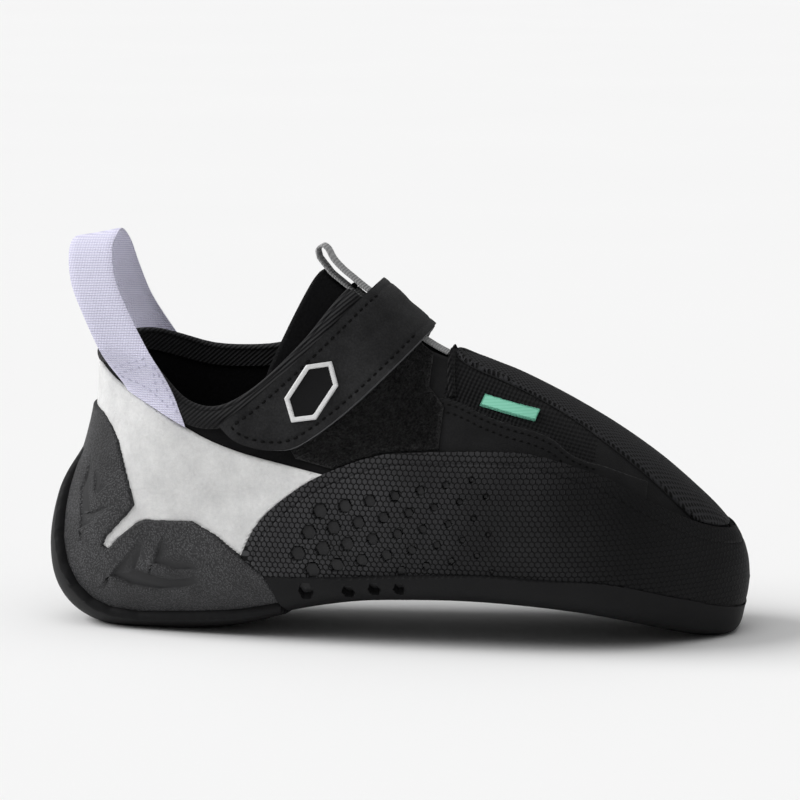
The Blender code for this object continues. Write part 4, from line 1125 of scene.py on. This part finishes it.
# %% The sole's own pockets: place along and up, and radius, in millimetres
BAND_POCKETS = ((96.3, 20.4, 2.3), (111.0, 21.2, 1.9), (120.2, 22.4, 1.9), (128.9, 22.9, 1.7))
BAND_POCKET_DEPTH = 0.0003


def in_band_pockets(points):
    """A region: the few pockets in the smooth band, in front of the heel."""
    reach = [hexagon_reach(points[:, [0, 2]], np.array((x, z)) / 1000, radius / 1000)
             for x, z, radius in BAND_POCKETS]
    return np.where(points[:, 1] < 0, np.max(reach, axis=0), FAR_OUTSIDE)


sole_region = both(under(BAND_TOP), without(heel_cup, OVERLAP))
sole_around = np.concatenate([steps(0, 35, 1.0), steps(35, 85, 0.5)[1:], steps(85, NET_AROUND, 1.0)[1:]])
sole_along = np.concatenate([steps(row_step(10), row_step(15), 0.5),
                             steps(row_step(15), NET_ALONG - 1, 1.0)[1:]])
vertices, faces, _ = lay(both(sole_region, without(in_band_pockets)), OVERLAY, sole_height, sole_along,
                         sole_around, edge=0.0003)
vertices[:, 2] = np.maximum(vertices[:, 2], 0)
make_piece("sole", vertices, faces, [sole_rubber], "outsole")
floors = lay(both(sole_region, lambda points: in_band_pockets(points) + FLOOR_MARGIN), OVERLAY,
             OVERLAY + SOLE_EDGE_PLY - BAND_POCKET_DEPTH, sole_along, sole_around, edge=0.0001)
make_piece("band_pocket_floors", *floors[:2], [smooth_rubber])

# %% The heel cup, with the creases of its moulded facets
# A crease is a depth, the width over which the rubber comes up again, and a line in the side view. All are
# in millimetres, and the line is measured from the back of the heel and from the floor. The rubber steps
# down on the line's left, as one goes along it. The step tapers off over a fifth of the line at both ends.
CREASES = (
    (0.90, 6.4, ((18.4, 61.6), (14.8, 49.3), (14.9, 35.3), (22.2, 39.3))),
    (0.80, 3.2, ((28.0, 46.1), (19.2, 42.0), (17.3, 52.2), (19.7, 61.3))),
    (0.90, 4.8, ((20.4, 57.8), (20.4, 49.4), (21.8, 47.7), (27.1, 52.6))),
    (1.40, 7.2, ((40.5, 37.6), (25.7, 20.4), (34.0, 17.0), (42.9, 15.9), (52.0, 17.0), (60.5, 19.8))),
    (0.90, 3.2, ((59.8, 22.1), (48.2, 20.2), (35.9, 23.5), (39.8, 34.0))),
    (1.10, 5.6, ((46.4, 36.9), (42.0, 26.1), (50.6, 23.7), (61.2, 24.2))),
)
STEP_WIDTH = 0.0006
FACETS_FROM = 0.010
FACETS_OVER = 0.006
POLISH_AND_SHADE_DEPTH = 0.0008


def crease(points, line, depth, fade):
    """How deep the rubber is let in beside a crease."""
    flat, line = points[:, [0, 2]], np.array(line) / 1000
    nearest, side, share = np.full(len(flat), 1e9), np.zeros(len(flat)), np.zeros(len(flat))
    for k, (a, b) in enumerate(zip(line[:-1], line[1:])):
        way = b - a
        t = np.clip(((flat - a) @ way) / (way @ way), 0, 1)
        gap = np.hypot(*(flat - a - t[:, None] * way).T)
        closer = gap < nearest
        nearest = np.where(closer, gap, nearest)
        share = np.where(closer, (k + t) / (len(line) - 1), share)
        side = np.where(closer, way[0] * (flat - a)[:, 1] - way[1] * (flat - a)[:, 0], side)
    taper = np.clip(5 * share, 0, 1) * np.clip(5 * (1 - share), 0, 1)
    fall = eased(np.clip(nearest / STEP_WIDTH, 0, 1)) * np.clip(1 - nearest / fade, 0, 1)
    return np.where(side > 0, depth * taper * fall, 0)


def cup_relief(points, distance):
    """The facets on both sides of the heel. They end before its middle, which the strip covers."""
    depth = sum(crease(points, line, deep / 1000, fade / 1000) for deep, fade, line in CREASES)
    return -depth * eased(np.clip((np.abs(points[:, 1]) - FACETS_FROM) / FACETS_OVER, 0, 1))


cup_around = np.concatenate([steps(0, NET_HALF, 0.45), steps(NET_HALF, NET_AROUND, 1.0)[1:]])
vertices, faces, _ = lay(heel_cup, OVERLAY, OVERLAY + HEEL_CUP_PLY, steps(0, row_step(13), 0.38), cup_around,
                         edge=0.0010, relief=cup_relief)
# How deep each vertex lies beside a crease. There the facet is smooth, and the heel rubber paints it darker,
# as painted shade.
polish_and_shade = np.clip(-cup_relief(vertices, 0) / POLISH_AND_SHADE_DEPTH, 0, 1)
make_piece("heel_cup_skin", vertices, faces, [cup_rubber], "heel_cup", polish_and_shade=polish_and_shade)

# %% The tread strip round the heel
STRIP_TOP = 0.51
SKIVE_LENGTH = 0.024
SKIVE_DEPTH = 0.0037
STRIP_RISE = 0.0008
strip_low = OVERLAY + HEEL_CUP_PLY + GAP


def skived(points, distance):
    """The strip is skived thin towards its top end, where it sinks into the cup's rubber."""
    below = STACK + STRIP_TOP * LAST_HEIGHT - points[:, 2]
    return STRIP_RISE - SKIVE_DEPTH * (1 - eased(np.clip(below / SKIVE_LENGTH, 0, 1)))


vertices, faces, _ = lay(closed(HEEL_STRIP_EDGE), strip_low - GAP, strip_low + HEEL_STRIP_PLY,
                         steps(row_step(2), row_step(13), 0.9), steps(0, NET_AROUND, 1.0), edge=0.0012,
                         relief=skived)
vertices[:, 2] = np.maximum(vertices[:, 2], 0)
make_piece("heel_tread", vertices, faces, [sole_rubber], "heel_strip")

# %% [markdown]
# ## The plies above the rubber
#
# The white rand pulls the heel into the shoe. The toe patch is thin rubber for hooking with the toes, and
# its back edge is rolled into a bead. The lower panel of the vamp laps over the knit with a double row of
# stitches.

# %% The white heel rand
COUNTER_TOP = (
    (0.020, 0.706), (0.068, 0.700), (0.108, 0.658), (0.156, 0.610), (0.212, 0.548), (0.256, 0.504),
    (0.306, 0.470), (0.376, 0.438), (0.425, 0.418),
)
counter_region = both(under(COUNTER_TOP), without(heel_cup, OVERLAP), without(under(RAND_TOP), OVERLAP),
                      without(above_collar(BINDING_WIDTH), GAP))
vertices, faces, _ = lay(counter_region, OVERLAY, OVERLAY + COUNTER_PLY, steps(0, row_step(14), 1.0),
                         steps(0, NET_AROUND, 1.0), edge=0.0006)
make_piece("white_heel_rand", vertices, faces, [suede], "heel_counter")

# %% The toe patch
BEAD_HEIGHT = 0.0008
BEAD_INSET = 0.0012
BEAD_WIDTH = 0.0009
BEAD_ENDS = 0.66
patch_outline = spline(np.array(TOE_PATCH_PLAN), np.linspace(0, len(TOE_PATCH_PLAN) - 1, 69))[:-1]
patch_outline = patch_outline * (LENGTH, BALL_WIDTH)
toe_patch_region = both(plan(patch_outline), lambda points: points[:, 2] - STACK - 0.1 * LAST_HEIGHT,
                        without(under(RAND_TOP), GAP))


def rolled_start(points, distance):
    """The patch's back edge is rolled under, so it stands up in a soft bead."""
    return BEAD_HEIGHT * bell(distance, BEAD_INSET, BEAD_WIDTH) * (points[:, 0] < BEAD_ENDS * LENGTH)


vertices, faces, (fronts, walls) = lay(toe_patch_region, OVERLAY, OVERLAY + TOE_PATCH_PLY,
                                       steps(row_step(10), NET_ALONG - 1, 0.8),
                                       steps(60, NET_AROUND - 60, 0.8), relief=rolled_start)
look_of_face = np.concatenate([np.zeros(fronts, int), np.ones(walls, int)])
make_piece("toe_patch_rubber", vertices, faces, [toe_rubber, smooth_rubber], "toe_patch", look_of_face)

# %% The vamp's lower panel and its two rows of stitches
PANEL_RISE = 0.0005
PANEL_FROM = 0.44
panel_region = both(under(SEAM), lambda points: points[:, 0] - PANEL_FROM * LENGTH,
                    lambda points: -under(RAND_TOP)(points) + 0.001)
vertices, faces, _ = lay(panel_region, WALL - 0.0002, WALL + PANEL_RISE,
                         steps(row_step(9), NET_ALONG - 1, 1.0), steps(30, NET_AROUND - 30, 1.0), edge=0.0005)
make_piece("vamp_panel", vertices, faces, [microfibre])
seam_line = evenly(side_outline(SEAM), LINE_PITCH)
seam_line = seam_line[(seam_line[:, 0] > 0.45 * LENGTH) & (seam_line[:, 0] < 0.80 * LENGTH)]
rows = [on_side(seam_line - (0, drop), WALL + PANEL_RISE + 0.0001) for drop in (0.0014, 0.0038)]
stitches("vamp_stitches", rows, black_thread)

# %% [markdown]
# ## The closure
#
# The loop half of the fastener is sewn to the upper, with its pile outwards. The strap comes from the inner
# side over the instep and presses down on it. It stands off the shoe at the top, because it bridges the
# collar's edge and the tongue. Its cut edges show the pale core of the cloth. On the inner side a layer of
# cloth fills the space below it, and a box of stitches with a diagonal holds it.
#
# The badge is a plain six-sided plate with a raised rim. The label beside the toe patch has a sewn border.

# %% The outlines of the strap and of the loop patch
STRAP_LATERAL = (
    (0.269, 0.549), (0.290, 0.510), (0.317, 0.490), (0.346, 0.484), (0.382, 0.498), (0.445, 0.588),
    (0.518, 0.726), (0.590, 0.880), (0.650, 1.008), (0.560, 1.103), (0.530, 1.040), (0.443, 0.858),
    (0.363, 0.702), (0.308, 0.605),
)
STRAP_MEDIAL = (
    (0.400, 0.470), (0.458, 0.470), (0.500, 0.640), (0.540, 0.780), (0.590, 0.880), (0.650, 1.008),
    (0.560, 1.103), (0.530, 1.040), (0.443, 0.858), (0.400, 0.700),
)
LOOP_PATCH = (
    (0.432, 0.436), (0.497, 0.486), (0.578, 0.500), (0.580, 0.608), (0.556, 0.656), (0.556, 0.730),
    (0.520, 0.790), (0.470, 0.800), (0.420, 0.740), (0.372, 0.640), (0.350, 0.540), (0.376, 0.462),
)

# %% The loop patch
TUFT_HEIGHTS = (-0.0007, 0.0006)
loop_patch_region = both(closed(LOOP_PATCH), without(under(RAND_TOP), GAP), without(throat()),
                         without(above_collar(BINDING_WIDTH), GAP), lambda points: -points[:, 1])
random = np.random.default_rng(5)


def tufted(points, distance):
    """Loops of pile stand up at random heights, and lie lower at the patch's edge."""
    return random.uniform(*TUFT_HEIGHTS, len(points)) * np.clip(distance / 0.002, 0.3, 1)


vertices, faces, _ = lay(loop_patch_region, OVERLAY, OVERLAY + LOOP_PATCH_PLY, steps(0, row_step(16), 0.42),
                         steps(20, NET_HALF + 20, 0.6), edge=0.0013, relief=tufted)
make_piece("loop_pile_patch", vertices, faces, [loop_pile], "loop_patch")

# %% The strap
STRAP_SEAM_INSET = 0.0029
CHANNEL_DEPTH = 0.0002
CHANNEL_WIDTH = 0.0006
strap_low = OVERLAY + LOOP_PATCH_PLY + GAP
strap_top = strap_low + STRAP_PLY
strap_region = two_sided(closed(STRAP_LATERAL, 4), closed(STRAP_MEDIAL))


def seam_channel(points, distance):
    """The stitches pull the cloth down in a shallow channel inside its edge."""
    return -CHANNEL_DEPTH * bell(distance, STRAP_SEAM_INSET, CHANNEL_WIDTH)


vertices, faces, (fronts, walls) = lay(strap_region, strap_low, strap_top, steps(0, row_step(16), 0.65),
                                       steps(20, NET_AROUND - 20, 0.65), edge=0, relief=seam_channel,
                                       crest=STRAP_CREST, back=True)
look_of_face = np.concatenate([np.zeros(fronts, int), np.ones(walls, int), np.zeros(fronts, int)])
make_piece("strap_cloth", vertices, faces, [strap_face, raw_edge], "strap", look_of_face)

# %% The strap's stitches, 3 mm inside its edge
# They start and end on the ridge, where the side view no longer shows the cloth's face.
SEEN_FROM_SIDE = 0.45
seam = inset_line(side_outline(STRAP_LATERAL, 4)[::2], STRAP_SEAM_INSET)
seam = np.vstack([seam[20:], seam[:18]])
points, normals = on_side(evenly(seam, LINE_PITCH), strap_top - 0.0001, STRAP_CREST)
sideways = np.abs(normals[:, 1]) > SEEN_FROM_SIDE
stitches("strap_stitches", [(points[sideways], normals[sideways])], black_thread, **HEAVY_STITCH)

# %% Where the strap is sewn on, on the inner side
ANCHOR_FROM = 0.005
ANCHOR_TOP = 0.62
ANCHOR_BOX = ((0.408, 0.492), (0.452, 0.492), (0.480, 0.600), (0.416, 0.600), (0.408, 0.492), (0.480, 0.600))
anchor_region = both(closed(STRAP_MEDIAL), without(under(RAND_TOP), GAP),
                     lambda points: points[:, 1] - ANCHOR_FROM,
                     lambda points: STACK + ANCHOR_TOP * LAST_HEIGHT - points[:, 2])
vertices, faces, _ = lay(anchor_region, WALL, strap_low - 0.0001, steps(0, row_step(16), 0.8),
                         steps(NET_HALF, NET_AROUND, 1.0), edge=0)
make_piece("strap_anchor", vertices, faces, [microfibre])
box = on_side(evenly(side_outline(ANCHOR_BOX, 0), LINE_PITCH), strap_top, STRAP_CREST, medial=True)
stitches("anchor_stitches", [box], black_thread, **HEAVY_STITCH)

# %% The badge
BADGE_LEAN = math.radians(58)
BADGE_HALF_LENGTH = 0.012
BADGE_HALF_WIDTH = 0.0065
BADGE_SHOULDER = 0.55 * BADGE_HALF_LENGTH
BADGE_RIM = 0.0017
FIELD_INSET = 0.0014
badge_low = strap_top + GAP
badge_centre = np.array((0.397 * LENGTH, STACK + 0.643 * LAST_HEIGHT))
corners = [(BADGE_HALF_LENGTH, 0), (BADGE_SHOULDER, BADGE_HALF_WIDTH), (-BADGE_SHOULDER, BADGE_HALF_WIDTH),
           (-BADGE_HALF_LENGTH, 0), (-BADGE_SHOULDER, -BADGE_HALF_WIDTH), (BADGE_SHOULDER, -BADGE_HALF_WIDTH)]
sine, cosine = math.sin(BADGE_LEAN), math.cos(BADGE_LEAN)
turned = [badge_centre + (a * cosine - b * sine, a * sine + b * cosine) for a, b in corners]
badge_region = both(seen_within(turned), lambda points: -points[:, 1])
rim_region = both(badge_region, lambda points: BADGE_RIM - badge_region(points))
field_region = both(badge_region, lambda points: badge_region(points) - FIELD_INSET)
for name, region, rise, edge, look in (("badge_rim", rim_region, 0.0006, 0.0004, badge_plastic),
                                       ("badge_field", field_region, 0.0002, 0.0002, sole_rubber)):
    vertices, faces, _ = lay(region, badge_low - GAP, badge_low + rise, steps(row_step(4), row_step(14), 0.4),
                             steps(80, NET_HALF, 0.5), edge=edge, crest=STRAP_CREST)
    make_piece(name, vertices, faces, [look], "strap_badge")

# %% The label and its border
LABEL = ((0.634, 0.636), (0.629, 0.610), (0.706, 0.570), (0.710, 0.594))
LABEL_BORDER = 0.0005
label_region = both(closed(LABEL), without(toe_patch_region, GAP), lambda points: -points[:, 1])
border_region = both(label_region, lambda points: LABEL_BORDER - label_region(points))
for name, region, ply, pitch, edge, look in (
        ("mint_label", label_region, 0.0007, 0.5, 0.0005, woven_label),
        ("label_border", border_region, 0.0008, 0.4, 0.0003, woven_edge)):
    vertices, faces, _ = lay(region, OVERLAY, OVERLAY + ply, steps(row_step(11), row_step(20), pitch),
                             steps(80, NET_HALF, pitch), edge=edge)
    make_piece(name, vertices, faces, [look], "label")

# %% [markdown]
# ## The collar, the tongue and the insole
#
# A ribbed tape is folded over the collar's edge and sewn down on both sides. The tongue is a soft stretch
# cloth under the throat, and the insole is a thin board inside.

# %% The collar's binding
FOLD_HEIGHT = 0.0011
COLLAR_HEIGHT = 0.0010
binding_region = both(above_collar(BINDING_WIDTH), without(above_collar()), without(throat()))


def folded(points, distance):
    """The tape is folded round the edge, so it is fuller in the middle of its width."""
    return FOLD_HEIGHT * np.sin(np.clip(distance / BINDING_WIDTH, 0, 0.5) * math.pi)


vertices, faces, _ = lay(binding_region, OVERLAY, OVERLAY + BINDING_PLY, steps(0, row_step(13), 0.7),
                         steps(0, NET_AROUND, 0.8), edge=0.0005, relief=folded)
make_piece("binding_outside", vertices, faces, [binding_tape], "collar_binding")
vertices, faces, _ = lay(binding_region, -0.0009, 0.0, steps(0, row_step(13), 1.0), steps(0, NET_AROUND, 1.0),
                         edge=0.0005, back=True)
make_piece("binding_inside", vertices, faces, [binding_tape], "collar_binding")

# %% The fold of the binding over the collar's edge, and its stitches
for name, line, medial in (("binding_fold_outer", COLLAR_LATERAL, False),
                           ("binding_fold_inner", COLLAR_MEDIAL, True)):
    points, normals = on_side(evenly(side_outline(line), 0.0012), COLLAR_HEIGHT, medial=medial)
    inside = [k for k in range(len(points)) if abs(points[k][1]) > 0.004]
    vertices, faces = tube(points[inside], normals[inside], (0.0022, 0.0012), sides=12)
    make_piece(name, vertices, faces, [binding_tape], "collar_binding")

TAPE_SEAM_DROP = 0.0050
tape_line = evenly(lowered(side_outline(COLLAR_LATERAL), TAPE_SEAM_DROP), LINE_PITCH)[20:-30]
stitches("binding_stitches", [on_side(tape_line, OVERLAY + BINDING_PLY)], black_thread)

# %% The tongue and the insole
TONGUE_FRONT = ((0.640, 1.100), (0.640, 0.600), (0.500, 0.560))
tongue_outline = np.vstack([side_outline(TONGUE_EDGE, 2), side_outline(TONGUE_FRONT, 0)])
vertices, faces, _ = lay(seen_within(tongue_outline), -0.0023, -GAP, steps(0, row_step(16), 1.5),
                         steps(20, NET_AROUND - 20, 1.5), back=True)
make_piece("tongue_cloth", vertices, faces, [lining], "tongue")

bottom = sections_in_metres()[8:-2, :2]
insole_line = spline(bottom, np.linspace(0, len(bottom) - 1, 2 * len(bottom))) + (0, 0.036 * LAST_HEIGHT)
vertices, faces, _ = lay(below_line(insole_line), -0.0028, -GAP, steps(row_step(6), NET_ALONG - 1, 2.0),
                         steps(-100, 100, 2.0), back=True)
make_piece("insole_board", vertices, faces, [lining], "insole")

# %% [markdown]
# ## The webbings
#
# The loop at the heel is one length of webbing, sewn to the upper on both sides below the collar. Its ends
# are cut along the top of the white rand, and its stitches are placed on the webbing itself, so that they
# follow it wherever it goes. A second webbing runs down the middle of the tongue, and stands up in a small
# loop at its top.

# %% Ribbons of webbing
HEEL_LOOP_WIDTH = 0.015
HEEL_LOOP_PLY = 0.0011
WEBBING_WIDTH = 0.010
WEBBING_PLY = 0.0009
HEEL_LOOP = (
    # x      y      z      across_x across_y across_z
    (0.204, -0.585, 0.450, 0.88, -0.06, -0.28),
    (0.186, -0.585, 0.556, 0.88, -0.06, -0.28),
    (0.165, -0.585, 0.648, 0.88, -0.03, -0.26),
    (0.138, -0.560, 0.735, 0.92, 0.00, -0.28),
    (0.104, -0.450, 0.840, 0.96, 0.06, -0.26),
    (0.077, -0.310, 0.930, 0.98, 0.12, -0.10),
    (0.066, -0.150, 1.010, 0.97, 0.20, 0.10),
    (0.070, 0.010, 1.042, 0.96, 0.22, 0.18),
    (0.075, 0.160, 1.010, 0.98, 0.16, 0.10),
    (0.080, 0.290, 0.940, 0.99, 0.05, 0.08),
    (0.092, 0.400, 0.850, 0.99, 0.02, -0.05),
    (0.113, 0.490, 0.765, 0.96, 0.01, -0.20),
    (0.142, 0.560, 0.670, 0.92, 0.03, -0.30),
    (0.165, 0.578, 0.600, 0.92, 0.05, -0.40),
    (0.185, 0.585, 0.500, 0.92, 0.05, -0.40),
)
WEBBING_LOOP = (
    (0.386, 0.984), (0.384, 1.006), (0.390, 1.018), (0.398, 1.008), (0.406, 0.980), (0.419, 0.953),
    (0.432, 0.932), (0.452, 0.901), (0.474, 0.871),
)


def length_along(path):
    """How far along a path each of its points lies."""
    return np.concatenate([[0], np.cumsum(np.linalg.norm(np.diff(path, axis=0), axis=1))])


def ribbon(name, path, across, width, thickness, look, node_name, columns=9):
    """A flat webbing along a path, with rounded edges, mapped by metres across and metres along."""
    across = across / np.linalg.norm(across, axis=1, keepdims=True)
    spread = np.linspace(-0.5, 0.5, columns)
    points = path[:, None, :] + across[:, None, :] * (spread * width)[None, :, None]
    ribbon_from_rows(name, points, spread * width, thickness, look, node_name)


def ribbon_from_rows(name, points, spread, thickness, look, node_name, travel=None):
    """A flat webbing from its rows of points. travel says how far along the webbing each point lies."""
    rows, columns = points.shape[:2]
    along = np.gradient(points, axis=0)
    across = np.gradient(points, axis=1)
    normal = np.cross(across, along)
    normal /= np.maximum(np.linalg.norm(normal, axis=-1, keepdims=True), 1e-12)
    edge = np.minimum(spread - spread[0], spread[-1] - spread)
    half = thickness / 2 * (0.45 + 0.55 * np.sqrt(1 - (1 - np.clip(edge / 0.0006, 0, 1)) ** 2))
    front = points + normal * half[None, :, None]
    rear = points - normal * half[None, :, None]
    loop = np.concatenate([front, rear[:, ::-1]], axis=1)
    around = 2 * columns
    faces = []
    for i in range(rows - 1):
        for j in range(around):
            k = (j + 1) % around
            faces.append((i * around + j, (i + 1) * around + j, (i + 1) * around + k, i * around + k))
    faces.append(tuple(range(around)))
    faces.append(tuple((rows - 1) * around + j for j in reversed(range(around))))
    if travel is None:
        travel = np.repeat(length_along(points[:, columns // 2])[:, None], columns, axis=1)
    across_map = np.concatenate([spread, spread[::-1]])
    along_map = np.concatenate([travel, travel[:, ::-1]], axis=1)
    mapped = np.stack(np.broadcast_arrays(across_map[None, :], along_map), axis=-1).reshape(-1, 2)
    make_piece(name, loop.reshape(-1, 3), faces, [look], node_name, mapped=mapped)


def laid_on_sides(points, lift, free_from, free_to):
    """Points moved sideways to lie lift above the last. They come free between two heights."""
    lifted_net = NET + NET_OUT * lift
    sides = [lifted_net[::2, columns].reshape(-1, 3)
             for columns in (slice(2, NET_HALF - 1, 2), slice(NET_HALF + 2, -1, 2))]
    trees = [side_tree(side) for side in sides]
    laid = points.copy()
    for index in np.ndindex(points.shape[:2]):
        x, y, z = points[index]
        which = 0 if y < 0 else 1
        found = trees[which].find_n((x, z, 0), 4)
        weights = [1 / (distance + 1e-6) for _, _, distance in found]
        target = np.average([sides[which][k, 1] for _, k, _ in found], weights=weights)
        hold = eased(np.clip((free_to - z) / (free_to - free_from), 0, 1))
        laid[index][1] = y + (target - y) * hold
    return laid


# %% The heel loop
HELD_BELOW = 0.60
FREE_ABOVE = 0.76
END_ROWS = 16
EASED_ROWS = 6
rows = spline(np.array(HEEL_LOOP), np.linspace(0, len(HEEL_LOOP) - 1, 240))
path = rows[:, :3] * (LENGTH, HEEL_WIDTH, LAST_HEIGHT) + (0, 0, STACK)
way = np.gradient(path, axis=0)
way /= np.linalg.norm(way, axis=1, keepdims=True)
across = rows[:, 3:] - 0.8 * (rows[:, 3:] * way).sum(axis=1, keepdims=True) * way
across /= np.linalg.norm(across, axis=1, keepdims=True)
spread = np.linspace(-0.5, 0.5, 13) * HEEL_LOOP_WIDTH
points = path[:, None, :] + across[:, None, :] * spread[None, :, None]
points = laid_on_sides(points, OVERLAY + BINDING_PLY + GAP + HEEL_LOOP_PLY / 2,
                       STACK + HELD_BELOW * LAST_HEIGHT, STACK + FREE_ABOVE * LAST_HEIGHT)
counter_line = side_outline(COUNTER_TOP)
over_counter = points[:, :, 2] - np.interp(points[:, :, 0], counter_line[:, 0], counter_line[:, 1])


def cut_ends(points, over):
    """A ribbon's rows made again, with its ends cut where over is zero, and how far along each point lies."""
    travel, places = length_along(points[:, points.shape[1] // 2]), np.arange(len(points))
    firsts, lasts = [], []
    for column in over.T:
        kept = np.flatnonzero(column > 0)
        first, last = kept[0], kept[-1]
        firsts.append(first - column[first] / (column[first] - column[first - 1]))
        lasts.append(last + column[last] / (column[last] - column[last + 1]))
    start, stop = int(max(firsts)) + EASED_ROWS, int(min(lasts)) - EASED_ROWS
    made, travels = [], []
    for j, (first, last) in enumerate(zip(firsts, lasts)):
        wanted = np.concatenate([np.linspace(first, start, END_ROWS), np.arange(start + 1, stop),
                                 np.linspace(stop, last, END_ROWS)])
        made.append(np.stack([np.interp(wanted, places, points[:, j, k]) for k in range(3)], axis=1))
        travels.append(np.interp(wanted, places, travel))
    return np.stack(made, axis=1), np.stack(travels, axis=1)


points, travel = cut_ends(points, over_counter - GAP)
ribbon_from_rows("lilac_heel_loop", points, spread, HEEL_LOOP_PLY, lilac_webbing, "heel_loop", travel)
print("heel loop:", round(1000 * (travel.max() - travel.min())), "mm of webbing")

# %% The stitches that hold the loop, as marks in millimetres across it and up from its ends
LOOP_MARKS = (((-6.6, 19.0), (6.6, 19.0)), ((-6.6, 16.5), (6.6, 16.5)), ((-6.2, 15.5), (5.0, 2.5)),
              ((6.2, 15.5), (2.0, 6.0)), ((6.4, 15.0), (6.4, 1.0)))


def on_ribbon(marks, lift, far_end):
    """Points and normals on the heel loop's outer face, above marks of metres across and metres up."""
    along_at = travel[:, len(spread) // 2]
    normal = np.cross(np.gradient(points, axis=1), np.gradient(points, axis=0))
    normal /= np.linalg.norm(normal, axis=2, keepdims=True)
    reach = along_at[-1] - marks[:, 1] if far_end else along_at[0] + marks[:, 1]
    row = np.clip(np.interp(reach, along_at, np.arange(len(along_at))), 0, len(along_at) - 1.001)
    column = np.interp(marks[:, 0], spread, np.arange(len(spread)))
    column = np.clip(column, 0, len(spread) - 1.001)
    i, j = row.astype(int), column.astype(int)
    u, v = (row - i)[:, None], (column - j)[:, None]
    blend = [(grid[i, j] * (1 - u) + grid[i + 1, j] * u) * (1 - v)
             + (grid[i, j + 1] * (1 - u) + grid[i + 1, j + 1] * u) * v for grid in (points, normal)]
    return blend[0] + blend[1] * lift, blend[1]


rows = [on_ribbon(evenly(np.array(ends) / 1000, LINE_PITCH), HEEL_LOOP_PLY / 2, far_end)
        for ends in LOOP_MARKS for far_end in (False, True)]
stitches("loop_stitches", rows, pale_thread, length=0.0021)

# %% The tongue's webbing
WEBBING_ROWS = (10.8, 2.2)
read = spline(sections_in_metres(), np.linspace(*WEBBING_ROWS, 90))
ridge = np.stack([read[:, 2], read[:, 10], read[:, 3]], axis=1)
way = np.gradient(ridge, axis=0)
normal = np.stack([way[:, 2], 0 * way[:, 1], -way[:, 0]], axis=1)
ridge = ridge + (GAP / 2 + WEBBING_PLY / 2) * normal / np.linalg.norm(normal, axis=1, keepdims=True)
loop = side_outline(WEBBING_LOOP, 6)
loop = np.stack([loop[:, 0], np.full(len(loop), ridge[-1][1]), loop[:, 1]], axis=1)
path = np.vstack([ridge, loop])
ribbon("grey_tongue_webbing", path, np.tile((0.0, 1.0, 0.0), (len(path), 1)), WEBBING_WIDTH, WEBBING_PLY,
       grey_webbing, "tongue_webbing")

# %% [markdown]
# ## The picture
#
# The shoe stands on a plain pale floor under wide soft lights. The camera looks a little down and a little
# from the toe's side, from 1.4 m away.

# %% The camera
# A pixel of the picture is 0.347 mm wide at 1.4 m. The last's origin, on the floor at the back of the heel,
# shows 350 pixels to the left of the picture's middle and 220 below it.
PICTURE_PIXELS = 800
PIXEL = 0.000347
PIXEL_DISTANCE = 1.4
CAMERA_DISTANCE = 1.426
ORIGIN_LEFT = 350
ORIGIN_BELOW = 220
SENSOR = 36
turn, tilt = math.radians(9), math.radians(8)
right = Vector((math.cos(turn), math.sin(turn), 0))
forward = Vector((-math.sin(turn) * math.cos(tilt), math.cos(turn) * math.cos(tilt), -math.sin(tilt)))
up = Vector((-math.sin(turn) * math.sin(tilt), math.cos(turn) * math.sin(tilt), math.cos(tilt)))
aim = right * (ORIGIN_LEFT * PIXEL) + up * (ORIGIN_BELOW * PIXEL) - Vector((HEEL_CENTRE, 0, 0))
camera_data = bpy.data.cameras.new("camera")
camera_data.sensor_width = SENSOR
camera_data.lens = SENSOR * PIXEL_DISTANCE / (PICTURE_PIXELS * PIXEL)
camera = bpy.data.objects.new("camera", camera_data)
facing = Matrix((right, up, -forward)).transposed()
camera.matrix_world = Matrix.LocRotScale(aim - forward * CAMERA_DISTANCE, facing, None)
bpy.context.scene.collection.objects.link(camera)
bpy.context.scene.camera = camera


# %% The light
def soft_sun(name, place, spread, power):
    """A distant light from the direction of place, with soft shadows: spread is its width in degrees."""
    data = bpy.data.lights.new(name, "SUN")
    data.angle = math.radians(spread)
    data.energy = power
    light = bpy.data.objects.new(name, data)
    light.rotation_euler = Vector(place).to_track_quat("Z", "Y").to_euler()
    bpy.context.scene.collection.objects.link(light)


soft_sun("key", (-1.0, -0.15, 0.75), spread=40, power=2.6)
soft_sun("fill", (0.0, -0.45, 1.0), spread=60, power=0.7)

# %% The sky: a pale dome that is brightest overhead, as under a ceiling of softboxes
world = bpy.data.worlds.new("studio")
world.use_nodes = True
sky = world.node_tree
place = node(sky, "ShaderNodeTexCoord")
height_up = node(sky, "ShaderNodeSeparateXYZ", {0: place.outputs["Generated"]})
dome = node(sky, "ShaderNodeMapRange", {0: height_up.outputs["Z"], 1: 0.0, 2: 1.0, 3: 0.10, 4: 0.45})
sky.nodes["Background"].inputs["Color"].default_value = linear("#ffffff")
sky.links.new(dome.outputs[0], sky.nodes["Background"].inputs["Strength"])
bpy.context.scene.world = world
bpy.context.scene.view_settings.view_transform = "Standard"

# %% The floor, its size and its paint
FLOOR_HALF = 30
floor_paint, tree, in_space = start_material("pale matt paint", 0.9, ior=1.5, gloss=0.0)
mottle = node(tree, "ShaderNodeTexNoise", {"Vector": in_space, "Scale": 3.0})
dress(tree, mottle, "#f2f2f2", "#f4f4f4", mottle, 0.0)
mesh = bpy.data.meshes.new("floor")
floor_corners = [(FLOOR_HALF * x, FLOOR_HALF * y, 0) for x, y in ((-1, -1), (1, -1), (1, 1), (-1, 1))]
mesh.from_pydata(floor_corners, [], [(0, 1, 2, 3)])
mesh.materials.append(floor_paint)
floor = bpy.data.objects.new("floor", mesh)
bpy.context.scene.collection.objects.link(floor)
